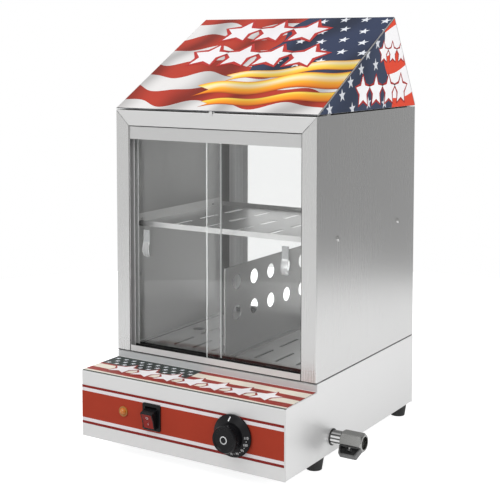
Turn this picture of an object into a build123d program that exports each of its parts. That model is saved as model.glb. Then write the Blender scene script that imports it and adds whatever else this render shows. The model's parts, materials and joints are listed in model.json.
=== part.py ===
from build123d import *
import math
import os

os.makedirs("parts", exist_ok=True)

# A counter-top hot dog steamer: a water tank and its controls in a stepped base, a glazed
# cabinet with sliding doors front and back, and a gabled sign hood on top.
# All sizes are in millimetres. The pieces are drawn about X = 0 with the cabinet's front
# face at Y = 0, its back towards +Y and the underside of the base at Z = 0. The last
# section moves them all so that the origin lies on the counter, midway under the whole.

# ---- Sheet metal ---------------------------------------------------------------------------------
sheet = 1.2              # thickness of the folded panels
bend = 0.8               # inside radius of a fold
lip = 12.0               # narrow stiffening flange
sticker = 0.3            # thickness of the printed films
clearance = 0.3          # gap under a piece that rests or runs loosely

# ---- Cabinet and base ----------------------------------------------------------------------------
cabinet_width = 350.0
cabinet_depth = 328.0
cabinet_height = 372.0   # side panels, from the tank's lip to the cabinet's top
base_height = 111.0
deck_depth = 85.0        # step in front of the cabinet, over the controls
deck_drop = 11.0         # deck below the base's top
riser_setback = 1.6      # riser behind the cabinet's front face
frame_bar = 25.0         # width of the front frame round the doors
rear_stile = 35.0        # width of the rear frame's uprights
mitre_gap = 1.0
frame_seam = 1.5         # gap between the top bar and the head track's valance
sill_gap = 0.9           # between the sill's face and the uprights
foot_flange = 40.0       # bottom flange of the base sides, over the feet
side_flange = 10.0       # bottom flange of the cabinet's sides, on the tank's lip
seat_flange = 15.0       # flange on which the tank's lip lies

# ---- Door tracks: three ribs, two channels -------------------------------------------------------
rib = 1.0
track_depth = 25.0
jamb_channel = 12.5      # depth of the channels in the uprights
sill_height = 10.0
valance = 19.0           # how far the head track shows below the front frame

# ---- Glass doors ---------------------------------------------------------------------------------
glass = 4.0
door_overlap = 11.6      # of two shut doors
glass_lap = 7.8          # how far the glass stands up into the head track
glass_edge = 0.5         # polished chamfer
ajar = 7.0               # the outer door stands this far from its stop
pull_inset = 33.0        # centre of the pull from the door's closing edge
pull_base = 259.0        # foot of the pull, above the base's underside
pull_width = 10.4
pull_height = 41.0
pull_grip = 24.0         # height of the bowed lower part
pull_reach = 5.5
pull_wall = 2.0

# ---- Tank, heater and drain ----------------------------------------------------------------------
tank_wall = 1.0
tank_inset_x = 27.0      # from the cabinet's side to the tank
tank_inset_y = 26.0      # from the cabinet's front and back to the tank
tank_floor = 6.0
tank_corner = 8.0
tank_edge = 4.0          # rounding of the tank's bottom edges
lip_inset = 4.0          # the tank's lip stops short of the outer faces
heater_radius = 4.0
heater_level = 34.0
heater_terminal = 22.0   # half the distance between the two ends
heater_inset = 38.0      # from the tank's walls to the loop
heater_bend = 24.0
heater_tail = 16.0       # ends standing out in front of the tank
bush_hex = 16.0          # across flats
bush_thread = 6.0        # radius
bush_nut = 3.0
drain_y = 49.2
drain_z = 23.2
drain_radius = 10.5
drain_bore = 8.0         # radius
drain_reach = 17.0       # pipe outside the side panel
drain_nut = 23.0         # across flats
drain_nut_width = 3.0
collar_radius = 12.0
collar_width = 1.2
valve_hex = 24.0         # across flats
valve_length = 34.0
valve_bore = 9.3         # radius of the threaded outlet
valve_bore_depth = 7.5
valve_turn = 52.0        # degrees that the stem leans forward from straight down
ball_radius = 8.0
ball_bore = 5.5          # radius, in the ball and on either side of it
stem_radius = 3.0
stem_fit = 0.05          # radial clearance of stem and ball
handle_length = 34.0
handle_tip = 26.0        # length at the outer edge
handle_drop = 14.3       # how far the wing stands off the body
handle_thickness = 8.0
handle_rim = 2.0
handle_recess = 2.8      # depth of the hollow on either side of the web
handle_hub = 3.8         # radius
handle_hub_drop = 6.0
handle_seat = 3.6        # depth of the stem in the hub
handle_screw = 1.4       # radius of the grub screw
grub_seat = 0.8          # depth of its dimple in the stem
grub_proud = 0.5

# ---- Steam tray, divider and bun shelf -----------------------------------------------------------
tray_rise = 3.0          # top of the tray above the tank's lip
tray_overlap = 7.0       # how far it bears on the lip
tray_slot = 56.0
tray_slot_width = 5.0
tray_pitch = (36.0, 76.0)
tray_count = (3, 3)      # slots on each side of the divider
tray_hole = 10.0         # radius of the lifting holes
tray_hole_inset = 22.0   # from the tray's edge
divider_height = 135.5
divider_front = 36.0
divider_back = 298.0
divider_hem = 7.0
divider_foot = 10.0
divider_hole = 11.5      # radius
divider_pitch = 50.3
divider_first_hole = 70.5
divider_columns = 5
divider_rows = (63.0, 110.0)  # heights of the two rows above the tray
shelf_level = 302.0
shelf_front = 36.0
shelf_back = 292.0
shelf_lip = 8.0
shelf_side = 15.0
shelf_screw_y = (63.0, 265.0)
shelf_screw_rise = 5.6
shelf_slot = 50.0
shelf_slot_width = 8.0
shelf_pitch = (56.0, 74.0)
shelf_count = (5, 3)

# ---- Hood ----------------------------------------------------------------------------------------
ridge_setback = 246.0
ridge_rise = 139.5       # ridge above the hood's lower edge
hood_gap = 1.5           # shadow line under the hood
ridge_lip = 14.0         # front board folded over the ridge
hood_tab = 10.0
hood_tongue = 4.4        # width of the small tongue in front
tongue_reach = 4.5       # how far it hangs over the cabinet's face
tongue_thickness = 0.8
hood_flange = 15.0
sign_margin = 0.8

# ---- Controls ------------------------------------------------------------------------------------
decal_bottom = 19.5
decal_height = 58.0
decal_end = 2.0          # bare metal at the right-hand end
lamp_x = -97.0
lamp_z = 50.0
lamp_radius = 5.2
lamp_ring = 7.5
lamp_ring_width = 1.6
lamp_dome = 4.2
lamp_body = 22.0
switch_x = -45.5
switch_z = 50.6
switch_width = 31.4
switch_height = 38.8
bezel = 2.6
switch_body_width = 25.0
switch_body_height = 33.0
switch_body_depth = 24.0
window_width = 21.0
window_height = 29.8
window_depth = 13.0
pivot_depth = 4.0        # rocker's axis behind the bezel's front
rocker_side_gap = 0.3
rocker_height = 25.6
rocker_crown = 12.3      # middle of the paddle's face above its axis
rocker_dish = 4.0        # degrees that each half of the face rises outwards
rocker_back = 5.0
rocker_tilt = 17.0       # degrees either way
rocker_border = 1.7      # black edge round the red lens
rocker_lens = 1.2        # thickness of the lens
rocker_pin = 1.3
pin_seat = 1.2           # depth of the pin holes
pin_fit = 0.05
knob_x = 92.8
knob_z = 49.6
knob_gap = 1.2
skirt_radius = 29.8
skirt_edge = 2.2
skirt_height = 6.0
skirt_inner = 19.5       # radius at which the bevel ends
grip_base = 17.2         # radius at the skirt
grip_front = 18.9        # radius at the front
grip_height = 18.0
grip_dish = 1.0
grip_boss = 6.4          # radius of the raised middle of the dish
grip_flute = 1.1         # depth of the finger flutes
grip_flutes = 24
knob_bore = 3.0
shaft_fit = 0.05
thermostat_box = 42.0
thermostat_depth = 20.0
thermostat_shaft = 3.0   # radius
thermostat_bush = 5.0    # radius of the threaded neck
probe_x = 70.0
probe_z = 52.0
bulb_radius = 3.0
bulb_length = 80.0
capillary_radius = 1.2
capillary_bend = 7.0
terminal_ways = 5
terminal_width = 60.0
terminal_depth = 20.0
terminal_height = 16.0
terminal_x = -110.0
gland_inset = 55.0       # centre from the base's side
gland_z = 40.0
gland_hex = 20.0
gland_reach = 16.0
gland_bore = 4.0
gland_thread = 7.0       # radius

# ---- Feet and fasteners --------------------------------------------------------------------------
foot_height = 20.0
foot_top = 14.4          # radius
foot_bottom = 11.2       # radius
foot_recess = 5.5
foot_inset = 18.0        # centre from the cabinet's side
foot_front = 28.0
foot_back = 312.5
screw_radius = 2.0
screw_hole = 2.05
screw_head = 4.2
screw_head_height = 2.0
vent_slots = 7
vent_length = 40.0
vent_width = 4.0
vent_pitch = 14.0

# ---- Worked out from the sizes above -------------------------------------------------------------
half = cabinet_width / 2
inner = half - sheet
lip_top = base_height + tank_wall
top = lip_top + cabinet_height
opening = half - frame_bar
deck_height = base_height - deck_drop
panel_y = -deck_depth
face_y = panel_y - sticker
rib_front = sheet
rib_back = track_depth - rib
rib_middle = (rib_front + rib_back) / 2
channel_outer = (rib_front + rib + rib_middle) / 2
channel_inner = (rib_middle + rib + rib_back) / 2
glass_base = lip_top + rib + clearance
head_base = top - frame_bar - valance
glass_height = head_base + glass_lap - glass_base
shut_edge = opening + jamb_channel - clearance
glass_width = shut_edge + door_overlap / 2
tray_top = lip_top + tray_rise
hood_base = top + hood_gap
ridge_z = hood_base + ridge_rise
mid_y = cabinet_depth / 2
tank_x = half - tank_inset_x
tank_back = cabinet_depth - tank_inset_y
drain_end = half + drain_reach
stem_x = drain_end + valve_length / 2
grub_z = -valve_hex / 2 - clearance - handle_seat / 2
grub_tip = stem_radius - grub_seat
foot_x = half - foot_inset
gland_x = gland_inset - half


# ---- Helpers -------------------------------------------------------------------------------------
def block(x0, x1, y0, y1, z0, z1):
    """Box between two corners."""
    return Pos((x0 + x1) / 2, (y0 + y1) / 2, (z0 + z1) / 2) * Box(x1 - x0, y1 - y0, z1 - z0)


def rect(u0, u1, v0, v1):
    """Rectangle between two corners of a sketch plane."""
    return Pos((u0 + u1) / 2, (v0 + v1) / 2) * Rectangle(u1 - u0, v1 - v0)


def rod(x, y, z, radius, length, direction):
    """Round bar from a point along a direction."""
    plane = Plane(origin=(x, y, z), z_dir=direction)
    return extrude(plane * Circle(radius), length)


def hex_bar(x, y, z, across_flats, length, direction, turn=0):
    """Hexagonal bar from a point along a direction."""
    plane = Plane(origin=(x, y, z), z_dir=direction)
    return extrude(plane * RegularPolygon(across_flats / 2, 6, major_radius=False, rotation=turn), length)


def folded(points, thickness=sheet):
    """Section of a folded sheet: its outer face follows the points, the metal lies to their left."""
    path = [Vector(u, v) for u, v in points]
    ways = [(b - a).normalized() for a, b in zip(path, path[1:])]
    normals = [Vector(-way.Y, way.X) for way in ways]
    inside = [path[0] + normals[0] * thickness]
    for i in range(1, len(path) - 1):
        both = normals[i - 1] + normals[i]
        inside.append(path[i] + both * (thickness / (1 + normals[i - 1].dot(normals[i]))))
    inside.append(path[-1] + normals[-1] * thickness)
    section = make_face(Polyline(*path, *reversed(inside), close=True))
    for i in range(1, len(path) - 1):
        left_turn = ways[i - 1].X * ways[i].Y - ways[i - 1].Y * ways[i].X > 0
        for corner, outer in ((path[i], left_turn), (inside[i], not left_turn)):
            vertex = section.vertices().sort_by_distance(corner)[0]
            section = fillet(vertex, bend + thickness if outer else bend)
    return section


def across(section, reach=half):
    """Solid of a Y-Z section, carried to both sides of X = 0."""
    return extrude(Plane.YZ * section, reach, both=True)


def lengthwise(section, y0, y1):
    """Solid of an X-Z section, carried from y0 back to y1."""
    return extrude(Plane.XZ.offset(-y1) * section, y1 - y0)


def upright(section, z0, z1):
    """Solid of an X-Y section, carried from z0 up to z1."""
    return extrude(Plane.XY.offset(z0) * section, z1 - z0)


def other_side(piece):
    """The same piece on the left-hand side."""
    return mirror(piece, about=Plane.YZ)


def at_back(piece):
    """The same piece at the back of the cabinet."""
    return mirror(piece, about=Plane.XZ.offset(-mid_y))


def slots(long, wide, turn, pitch, count, centre, z):
    """Cutter for a field of slots in a level sheet: pitch, count and centre are pairs, across then back."""
    places = GridLocations(*pitch, *count)
    field = Sketch() + [place * SlotOverall(long, wide, rotation=turn) for place in places]
    return extrude(Plane.XY.offset(z) * (Pos(*centre) * field), 2 * sheet, both=True)


def at_feet(piece):
    """Copies of a piece at the four feet."""
    return [Pos(side * foot_x, y, 0) * piece for side in (-1, 1) for y in (foot_front, foot_back)]


# ---- Base ----------------------------------------------------------------------------------------
def base_side():
    """Right-hand side of the base: plate with a bottom flange over the feet, stepped at the deck."""
    front = panel_y + sheet
    back = cabinet_depth - sheet
    section = folded([(half - foot_flange, 0), (half, 0), (half, base_height)])
    side = lengthwise(section, front, back)
    side -= block(0, half, front, riser_setback + sheet, deck_height - sheet, base_height)
    return side - at_feet(rod(0, 0, -1, screw_hole, 3 * sheet, (0, 0, 1)))


def base_side_right():
    """Right-hand side with the hole for the drain pipe."""
    return base_side() - rod(inner - 1, drain_y, drain_z, drain_radius, 3 * sheet, (1, 0, 0))


def base_front():
    """One folded sheet: seat for the tank's lip, riser, deck and control face."""
    points = [(seat_flange, base_height), (riser_setback, base_height), (riser_setback, deck_height)]
    points += [(panel_y, deck_height), (panel_y, 0)]
    front = across(folded(points)) - base_side() - other_side(base_side())
    front -= rod(lamp_x, panel_y - 1, lamp_z, lamp_radius, 3 * sheet, (0, 1, 0))
    front -= rod(knob_x, panel_y - 1, knob_z, thermostat_bush, 3 * sheet, (0, 1, 0))
    return front - switch_opening(panel_y - 1, panel_y + 2 * sheet)


def switch_opening(y0, y1):
    """Cutter for the body of the switch."""
    width = switch_body_width / 2
    height = switch_body_height / 2
    return block(switch_x - width, switch_x + width, y0, y1, switch_z - height, switch_z + height)


def base_back():
    """Back of the base with its seat for the tank's lip and the cable's entry."""
    points = [(cabinet_depth, 0), (cabinet_depth, base_height)]
    points += [(cabinet_depth - seat_flange, base_height)]
    back = across(folded(points)) - base_side() - other_side(base_side())
    return back - rod(gland_x, cabinet_depth - 2 * sheet, gland_z, gland_thread, 4 * sheet, (0, 1, 0))


def base_floor():
    """Floor tray on the side flanges, turned up at both ends, with vents under the controls."""
    front = panel_y + sheet
    back = cabinet_depth - sheet
    points = [(front, sheet + lip), (front, sheet), (back, sheet), (back, sheet + lip)]
    floor = across(folded(points), inner - bend)
    vents = slots(vent_length, vent_width, 90, (vent_pitch, 1), (vent_slots, 1), (knob_x, panel_y / 2), sheet)
    return floor - vents - at_feet(rod(0, 0, -1, screw_hole, 4 * sheet, (0, 0, 1)))


def feet():
    """Four tapered rubber feet with a recess for the screw."""
    rise = Plane.XY.offset(-foot_height)
    foot = loft(Sketch() + [rise * Circle(foot_bottom), Circle(foot_top)])
    foot -= extrude(rise * Circle(foot_recess), foot_height / 2)
    foot -= extrude(rise * Circle(screw_hole), foot_height)
    return Compound(at_feet(foot))


def foot_screws():
    """Pan-headed screws up through the feet into the base."""
    head_z = -foot_height / 2
    screw = rod(0, 0, head_z, screw_radius, foot_height / 2 + 3 * sheet, (0, 0, 1))
    screw += rod(0, 0, head_z, screw_head, screw_head_height, (0, 0, -1))
    return Compound(at_feet(screw))


def control_decal():
    """Film along the control face, cut out for what is mounted there."""
    film = block(-half, half - decal_end, face_y, panel_y, decal_bottom, decal_bottom + decal_height)
    film -= rod(lamp_x, panel_y - 1, lamp_z, lamp_radius, 2, (0, 1, 0))
    film -= rod(knob_x, panel_y - 1, knob_z, thermostat_bush, 2, (0, 1, 0))
    return film - switch_opening(panel_y - 1, panel_y + 1)


def deck_decal():
    """Film on the deck, clear of the folds."""
    reach = half - sign_margin
    front = panel_y + bend + sheet
    return block(-reach, reach, front, riser_setback - bend, deck_height, deck_height + sticker)


# ---- Controls ------------------------------------------------------------------------------------
def pilot_lamp_body():
    """Lamp holder: ring on the face and the body behind it."""
    ring = rod(lamp_x, face_y, lamp_z, lamp_ring, lamp_ring_width, (0, -1, 0))
    return ring + rod(lamp_x, face_y, lamp_z, lamp_radius, lamp_body, (0, 1, 0))


def pilot_lamp_lens():
    """Domed amber lens on the lamp holder."""
    start = face_y - lamp_ring_width
    radius = (lamp_radius ** 2 + lamp_dome ** 2) / (2 * lamp_dome)
    ball = Pos(lamp_x, start - lamp_dome + radius, lamp_z) * Sphere(radius)
    reach = 2 * radius
    return ball & block(lamp_x - reach, lamp_x + reach, start - reach, start, lamp_z - reach, lamp_z + reach)


def switch_housing():
    """Bezel and body of the mains switch, with the window and pin holes for the rocker."""
    width = switch_width / 2
    height = switch_height / 2
    front = face_y - bezel
    flange = block(switch_x - width, switch_x + width, front, face_y,
                   switch_z - height, switch_z + height)
    flange = fillet(flange.edges().filter_by(Axis.Y), 2 * sheet)
    flange = chamfer(flange.faces().sort_by(Axis.Y)[0].edges(), sheet / 2)
    housing = flange + switch_opening(face_y, face_y + switch_body_depth)
    width = window_width / 2
    height = window_height / 2
    window = block(switch_x - width, switch_x + width, front, front + window_depth,
                   switch_z - height, switch_z + height)
    reach = width + pin_seat
    pins = rod(switch_x - reach, front + pivot_depth, switch_z, rocker_pin + pin_fit, 2 * reach, (1, 0, 0))
    return housing - window - pins


def tilted(piece):
    """Piece of the paddle, drawn about its axis, tilted and set in the housing."""
    return Pos(switch_x, face_y - bezel + pivot_depth, switch_z) * Rot(rocker_tilt, 0, 0) * piece


def paddle_block(end, depth, reach):
    """Block under the paddle's dished face: half its height, its depth below the axis, half its width."""
    rise = end * math.tan(math.radians(rocker_dish))
    outline = make_face(Polyline((rocker_crown, 0), (rocker_crown + rise, end), (-depth, end),
                                 (-depth, -end), (rocker_crown + rise, -end), close=True))
    return extrude(Plane(origin=(0, 0, 0), x_dir=(0, -1, 0), z_dir=(-1, 0, 0)) * outline, reach, both=True)


def lens_block():
    """Red lens let into the paddle's face inside a black border."""
    end = rocker_height / 2 - rocker_border
    reach = window_width / 2 - rocker_side_gap - rocker_border
    return paddle_block(end, rocker_lens - rocker_crown, reach)


def switch_rocker():
    """Paddle of the switch, rocking on two pins, shown pressed in at the bottom."""
    paddle = paddle_block(rocker_height / 2, rocker_back, window_width / 2 - rocker_side_gap)
    paddle = fillet(paddle.edges().filter_by(Axis.X).group_by(Axis.Y)[0], bend)
    reach = window_width / 2 + pin_seat - clearance
    paddle += rod(-reach, 0, 0, rocker_pin, 2 * reach, (1, 0, 0))
    return tilted(paddle - lens_block())


def switch_lens():
    """The red lens as a piece of its own."""
    return tilted(lens_block())


def thermostat_body():
    """Capillary thermostat behind the control face, with its threaded neck and shaft."""
    back = panel_y + sheet
    side = thermostat_box / 2
    body = block(knob_x - side, knob_x + side, back, back + thermostat_depth, knob_z - side, knob_z + side)
    body = chamfer(body.edges().filter_by(Axis.Y), 3 * sheet)
    body += rod(knob_x, back, knob_z, thermostat_bush, sheet + sticker, (0, -1, 0))
    reach = sheet + sticker + grip_height - 2 * sheet
    return body + rod(knob_x, back, knob_z, thermostat_shaft, reach, (0, -1, 0))


def thermostat_knob():
    """Dial skirt with a bevelled face and a fluted grip, dished round a raised middle."""
    start = knob_gap
    edge = start + skirt_edge
    shoulder = start + skirt_height
    front = shoulder + grip_height
    dish = front - grip_dish
    profile = Polyline((0, start), (skirt_radius, start), (skirt_radius, edge), (skirt_inner, shoulder),
                       (grip_base, shoulder), (grip_front, front - 2 * sheet), (grip_front - sheet, front),
                       (grip_front - 3 * sheet, front), (grip_front - 4 * sheet, dish),
                       (grip_boss, dish), (grip_boss - sheet, front), (0, front), close=True)
    outward = Plane(origin=(knob_x, face_y, knob_z), x_dir=(1, 0, 0), z_dir=(0, -1, 0))
    turned = revolve(Plane.XZ * make_face(profile), Axis.Z)
    places = PolarLocations(grip_front + grip_flute, grip_flutes)
    round_bars = Sketch() + [place * Circle(2 * grip_flute) for place in places]
    flutes = extrude(Plane.XY.offset(shoulder) * round_bars, grip_height - 2 * sheet)
    bore = extrude(Circle(knob_bore + shaft_fit), sheet + grip_height - 2 * sheet)
    return outward * (turned - flutes - bore)


def capillary():
    """Sensing bulb in the tank and its fine tube back to the thermostat."""
    start = panel_y + sheet + thermostat_depth
    entry = tank_inset_y - heater_tail
    turn = (start + entry) / 2
    path = FilletPolyline((knob_x, start, probe_z), (knob_x, turn, probe_z), (probe_x, turn, probe_z),
                          (probe_x, entry, probe_z), radius=capillary_bend)
    tube = sweep(Plane(origin=path @ 0, z_dir=path % 0) * Circle(capillary_radius), path)
    return tube + rod(probe_x, entry, probe_z, bulb_radius, bulb_length, (0, 1, 0))


def terminal_block():
    """Mains terminals on the floor behind the control face, with their screw wells."""
    width = terminal_width / 2
    base = 2 * sheet
    y = panel_y / 2
    body = block(terminal_x - width, terminal_x + width, y - terminal_depth / 2, y + terminal_depth / 2,
                 base, base + terminal_height)
    wells = [Pos(terminal_x, y, base + terminal_height) * place * Cylinder(screw_radius, terminal_height)
             for place in GridLocations(terminal_width / terminal_ways, 0, terminal_ways, 1)]
    return body - wells


def cable_gland():
    """Cable entry in the back: nut outside, thread through the sheet, domed cap."""
    body = hex_bar(gland_x, cabinet_depth, gland_z, gland_hex, gland_reach / 2, (0, 1, 0))
    step = cabinet_depth + gland_reach / 2
    cap = rod(gland_x, step, gland_z, gland_hex / 2 - 1, gland_reach / 2, (0, 1, 0))
    cap = fillet(cap.faces().sort_by(Axis.Y)[-1].edges(), gland_reach / 4)
    thread = rod(gland_x, cabinet_depth, gland_z, gland_thread, 4 * sheet, (0, -1, 0))
    nut = hex_bar(gland_x, cabinet_depth - sheet, gland_z, gland_hex, 2 * sheet, (0, -1, 0))
    bore = rod(gland_x, cabinet_depth - 5 * sheet, gland_z, gland_bore, 5 * sheet + gland_reach, (0, 1, 0))
    return body + cap + thread + nut - bore


# ---- Tank, heater and drain ----------------------------------------------------------------------
def pan(grow, z0, z1, edge):
    """Rounded block of the tank's plan, grown by an amount, with rounded bottom edges."""
    width = 2 * (tank_x + grow)
    depth = tank_back - tank_inset_y + 2 * grow
    plan = RectangleRounded(width, depth, tank_corner + grow)
    body = extrude(Plane.XY.offset(z0) * Pos(0, mid_y) * plan, z1 - z0)
    return fillet(body.faces().sort_by(Axis.Z)[0].edges(), edge)


def water_tank():
    """Drawn pan hung from its lip, with holes for the heater, the bulb and the drain."""
    reach = half - lip_inset
    tank = pan(0, tank_floor, lip_top, tank_edge)
    tank += block(-reach, reach, lip_inset, cabinet_depth - lip_inset, base_height, lip_top)
    tank -= pan(-tank_wall, tank_floor + tank_wall, lip_top + 1, tank_edge - tank_wall)
    tank -= rod(tank_x - tank_corner, drain_y, drain_z, drain_radius, tank_corner + 1, (1, 0, 0))
    for x in (-heater_terminal, heater_terminal):
        tank -= rod(x, tank_inset_y - 1, heater_level, bush_thread, tank_corner, (0, 1, 0))
    return tank - rod(probe_x, tank_inset_y - 1, probe_z, bulb_radius, tank_corner, (0, 1, 0))


def heating_element():
    """Tubular heater: one loop round the tank, both ends out through the front wall."""
    reach = tank_x - heater_inset
    front = tank_inset_y + heater_inset
    back = tank_back - heater_inset
    start = tank_inset_y - heater_tail
    path = FilletPolyline((-heater_terminal, start, heater_level), (-heater_terminal, front, heater_level),
                          (-reach, front, heater_level), (-reach, back, heater_level),
                          (reach, back, heater_level), (reach, front, heater_level),
                          (heater_terminal, front, heater_level), (heater_terminal, start, heater_level),
                          radius=heater_bend)
    return sweep(Plane(origin=path @ 0, z_dir=path % 0) * Circle(heater_radius), path)


def heater_bushes():
    """Brass bushes that seal the heater's ends in the tank's front wall."""
    bush = hex_bar(0, tank_inset_y, heater_level, bush_hex, bush_nut, (0, -1, 0))
    bush += rod(0, tank_inset_y, heater_level, bush_thread, tank_wall + 2 * bush_nut, (0, 1, 0))
    bush += hex_bar(0, tank_inset_y + tank_wall, heater_level, bush_hex, bush_nut, (0, 1, 0))
    bush -= rod(0, 0, heater_level, heater_radius, tank_inset_y + tank_corner, (0, 1, 0))
    return Compound([Pos(x, 0, 0) * bush for x in (-heater_terminal, heater_terminal)])


def drain_pipe():
    """Threaded pipe from the tank out through the side, with a nut on either side of the tank's wall."""
    start = tank_x - tank_wall - drain_nut_width
    pipe = rod(start, drain_y, drain_z, drain_radius, drain_end - start, (1, 0, 0))
    pipe += hex_bar(start, drain_y, drain_z, drain_nut, drain_nut_width, (1, 0, 0))
    pipe += hex_bar(tank_x, drain_y, drain_z, drain_nut, drain_nut_width, (1, 0, 0))
    return pipe - rod(start, drain_y, drain_z, drain_bore, drain_end - start, (1, 0, 0))


def drain_collar():
    """Dark sealing washer between the side panel and the pipe."""
    ring = rod(half, drain_y, drain_z, collar_radius, collar_width, (1, 0, 0))
    return ring - rod(half, drain_y, drain_z, drain_radius, collar_width, (1, 0, 0))


def turned_valve(piece):
    """Piece drawn about the X axis with its stem straight down, leaned forward and set on the pipe."""
    return Pos(0, drain_y, drain_z) * Rot(-valve_turn, 0, 0) * piece


def valve_body():
    """Hexagonal ball-valve body: pipe socket, ball chamber, threaded outlet and stem hole."""
    end = drain_end + valve_length
    body = hex_bar(drain_end, 0, 0, valve_hex, valve_length, (1, 0, 0), 30)
    radius = valve_hex / 2 / math.cos(math.radians(30))
    turned = Pos(drain_end + valve_length / 2, 0, 0) * Rot(0, 90, 0) * Cylinder(radius, valve_length)
    body &= chamfer(turned.edges().filter_by(GeomType.CIRCLE), radius - valve_hex / 2 + sheet / 2)
    body -= rod(drain_end, 0, 0, ball_bore, valve_length, (1, 0, 0))
    body -= rod(end - valve_bore_depth, 0, 0, valve_bore, valve_bore_depth, (1, 0, 0))
    body -= Pos(stem_x, 0, 0) * Sphere(ball_radius + stem_fit)
    return turned_valve(body - rod(stem_x, 0, 0, stem_radius + stem_fit, valve_hex, (0, 0, -1)))


def valve_ball():
    """Ball with its through bore and the stem down to the handle."""
    end = valve_hex / 2 + clearance + handle_seat
    ball = Pos(stem_x, 0, 0) * Sphere(ball_radius) + rod(stem_x, 0, 0, stem_radius, end, (0, 0, -1))
    ball -= rod(stem_x - valve_hex, 0, 0, ball_bore, 2 * valve_hex, (1, 0, 0))
    return turned_valve(ball - rod(stem_x, -stem_radius, grub_z, handle_screw, grub_seat, (0, 1, 0)))


def valve_handle():
    """Wing handle: tapered block hollowed from both sides down to a web, with a hub on the valve's stem."""
    face = -valve_hex / 2 - clearance
    tip = face - handle_drop
    outline = make_face(Polyline((-handle_length / 2, face), (handle_length / 2, face),
                                 (handle_tip / 2, tip), (-handle_tip / 2, tip), close=True))
    outline = fillet(outline.vertices().group_by(Axis.Y)[0], handle_rim)
    handle = extrude(Plane.XZ * outline, handle_thickness / 2, both=True)
    high = face - handle_rim / 2
    low = tip + handle_rim
    wide, narrow = handle_length / 2 - handle_rim, handle_tip / 2 - handle_rim
    hollow = make_face(Polyline((-wide, high), (wide, high), (narrow, low), (-narrow, low), close=True))
    web = handle_thickness / 2 - handle_recess
    hollows = extrude(Plane.XZ * hollow, handle_thickness, both=True)
    handle -= hollows - block(-wide, wide, -web, web, low, high)
    handle += rod(0, 0, face, handle_hub, handle_hub_drop, (0, 0, -1))
    handle -= rod(0, 0, face, stem_radius, handle_seat, (0, 0, -1))
    handle -= rod(0, -handle_thickness, grub_z, handle_screw, handle_thickness, (0, 1, 0))
    return turned_valve(Pos(stem_x, 0, 0) * handle)


def handle_screw_piece():
    """Grub screw that holds the handle's hub on the stem."""
    end = -handle_hub - grub_proud
    screw = rod(stem_x, end, grub_z, handle_screw, -grub_tip - end, (0, 1, 0))
    return turned_valve(chamfer(screw.faces().sort_by(Axis.Y)[0].edges(), grub_proud / 2))


# ---- Cabinet -------------------------------------------------------------------------------------
def mitre(grow):
    """Cutter under the mitre of the front frame's right-hand corner, moved along X by an amount."""
    low = top - frame_bar
    outline = make_face(Polyline((opening + grow, low), (half + grow, top), (half + 1, top),
                                 (half + 1, low - 1), (opening + grow, low - 1), close=True))
    return extrude(Plane.XZ.offset(1) * outline, -1 - sheet)


def cabinet_side():
    """Right-hand panel with the front and rear uprights folded from it and the shelf's screw holes."""
    points = [(opening, 0), (half, 0), (half, cabinet_depth), (half - rear_stile, cabinet_depth)]
    side = upright(folded(points), lip_top, top)
    side -= block(opening - 1, half, -1, sheet, top - frame_bar, top) - mitre(0)
    ends = (track_depth + bend, cabinet_depth - track_depth - bend)
    side += block(inner - side_flange, inner, *ends, lip_top, lip_top + sheet)
    for y in shelf_screw_y:
        side -= rod(inner - 1, y, shelf_level + shelf_screw_rise, screw_hole, 3 * sheet, (1, 0, 0))
    return side


def cabinet_roof():
    """Top panel with the front frame's mitred bar and the rear frame's plain one."""
    low = top - frame_bar + frame_seam
    points = [(cabinet_depth, low), (cabinet_depth, top), (0, top), (0, low)]
    roof = across(folded(points))
    for side in (-1, 1):
        reach = (side * inner, side * (half + 1))
        roof -= block(min(reach), max(reach), sheet, cabinet_depth + 1, top - frame_bar, top)
        reach = (side * (half - rear_stile), side * (half + 1))
        roof -= block(min(reach), max(reach), cabinet_depth - sheet, cabinet_depth, top - frame_bar, top)
    roof -= mitre(-mitre_gap) + other_side(mitre(-mitre_gap))
    return roof - cabinet_side() - other_side(cabinet_side())


def jamb():
    """Front right-hand door channel: a web with three ribs, behind the frame's upright."""
    web = opening + jamb_channel
    section = Sketch() + rect(web, web + rib, rib_front, track_depth)
    for y in (rib_front, rib_middle, rib_back):
        section += rect(opening, web + rib, y, y + rib)
    return upright(section, lip_top, top - frame_bar)


def sill():
    """Front sill between the uprights: its face closes the frame and two grooves carry the glass."""
    section = Sketch() + rect(0, track_depth, lip_top, lip_top + rib)
    section += rect(0, sheet, lip_top, lip_top + sill_height)
    for y in (rib_middle, rib_back):
        section += rect(y, y + rib, lip_top, lip_top + sill_height)
    return across(section, opening - sill_gap)


def rear_sill():
    """The same sill at the back, its face cut off at the wider rear uprights."""
    return at_back(sill()) - cabinet_side() - other_side(cabinet_side())


def head():
    """Front head track: a valance below the frame's top bar and two grooves for the glass."""
    web = top - frame_bar - rib
    section = Sketch() + rect(rib_front, track_depth, web, web + rib)
    for y, z in ((rib_front, web), (rib_middle, web), (rib_back, top - sheet)):
        section += rect(y, y + rib, head_base, z)
    return across(section, opening)


def door(stile, channel):
    """Glass pane from its closing edge inwards, with polished edges, in one of the channels."""
    inward = -1 if stile > 0 else 1
    ends = (stile, stile + inward * glass_width)
    pane = block(min(ends), max(ends), channel - glass / 2, channel + glass / 2,
                 glass_base, glass_base + glass_height)
    return chamfer(pane.edges(), glass_edge)


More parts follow.
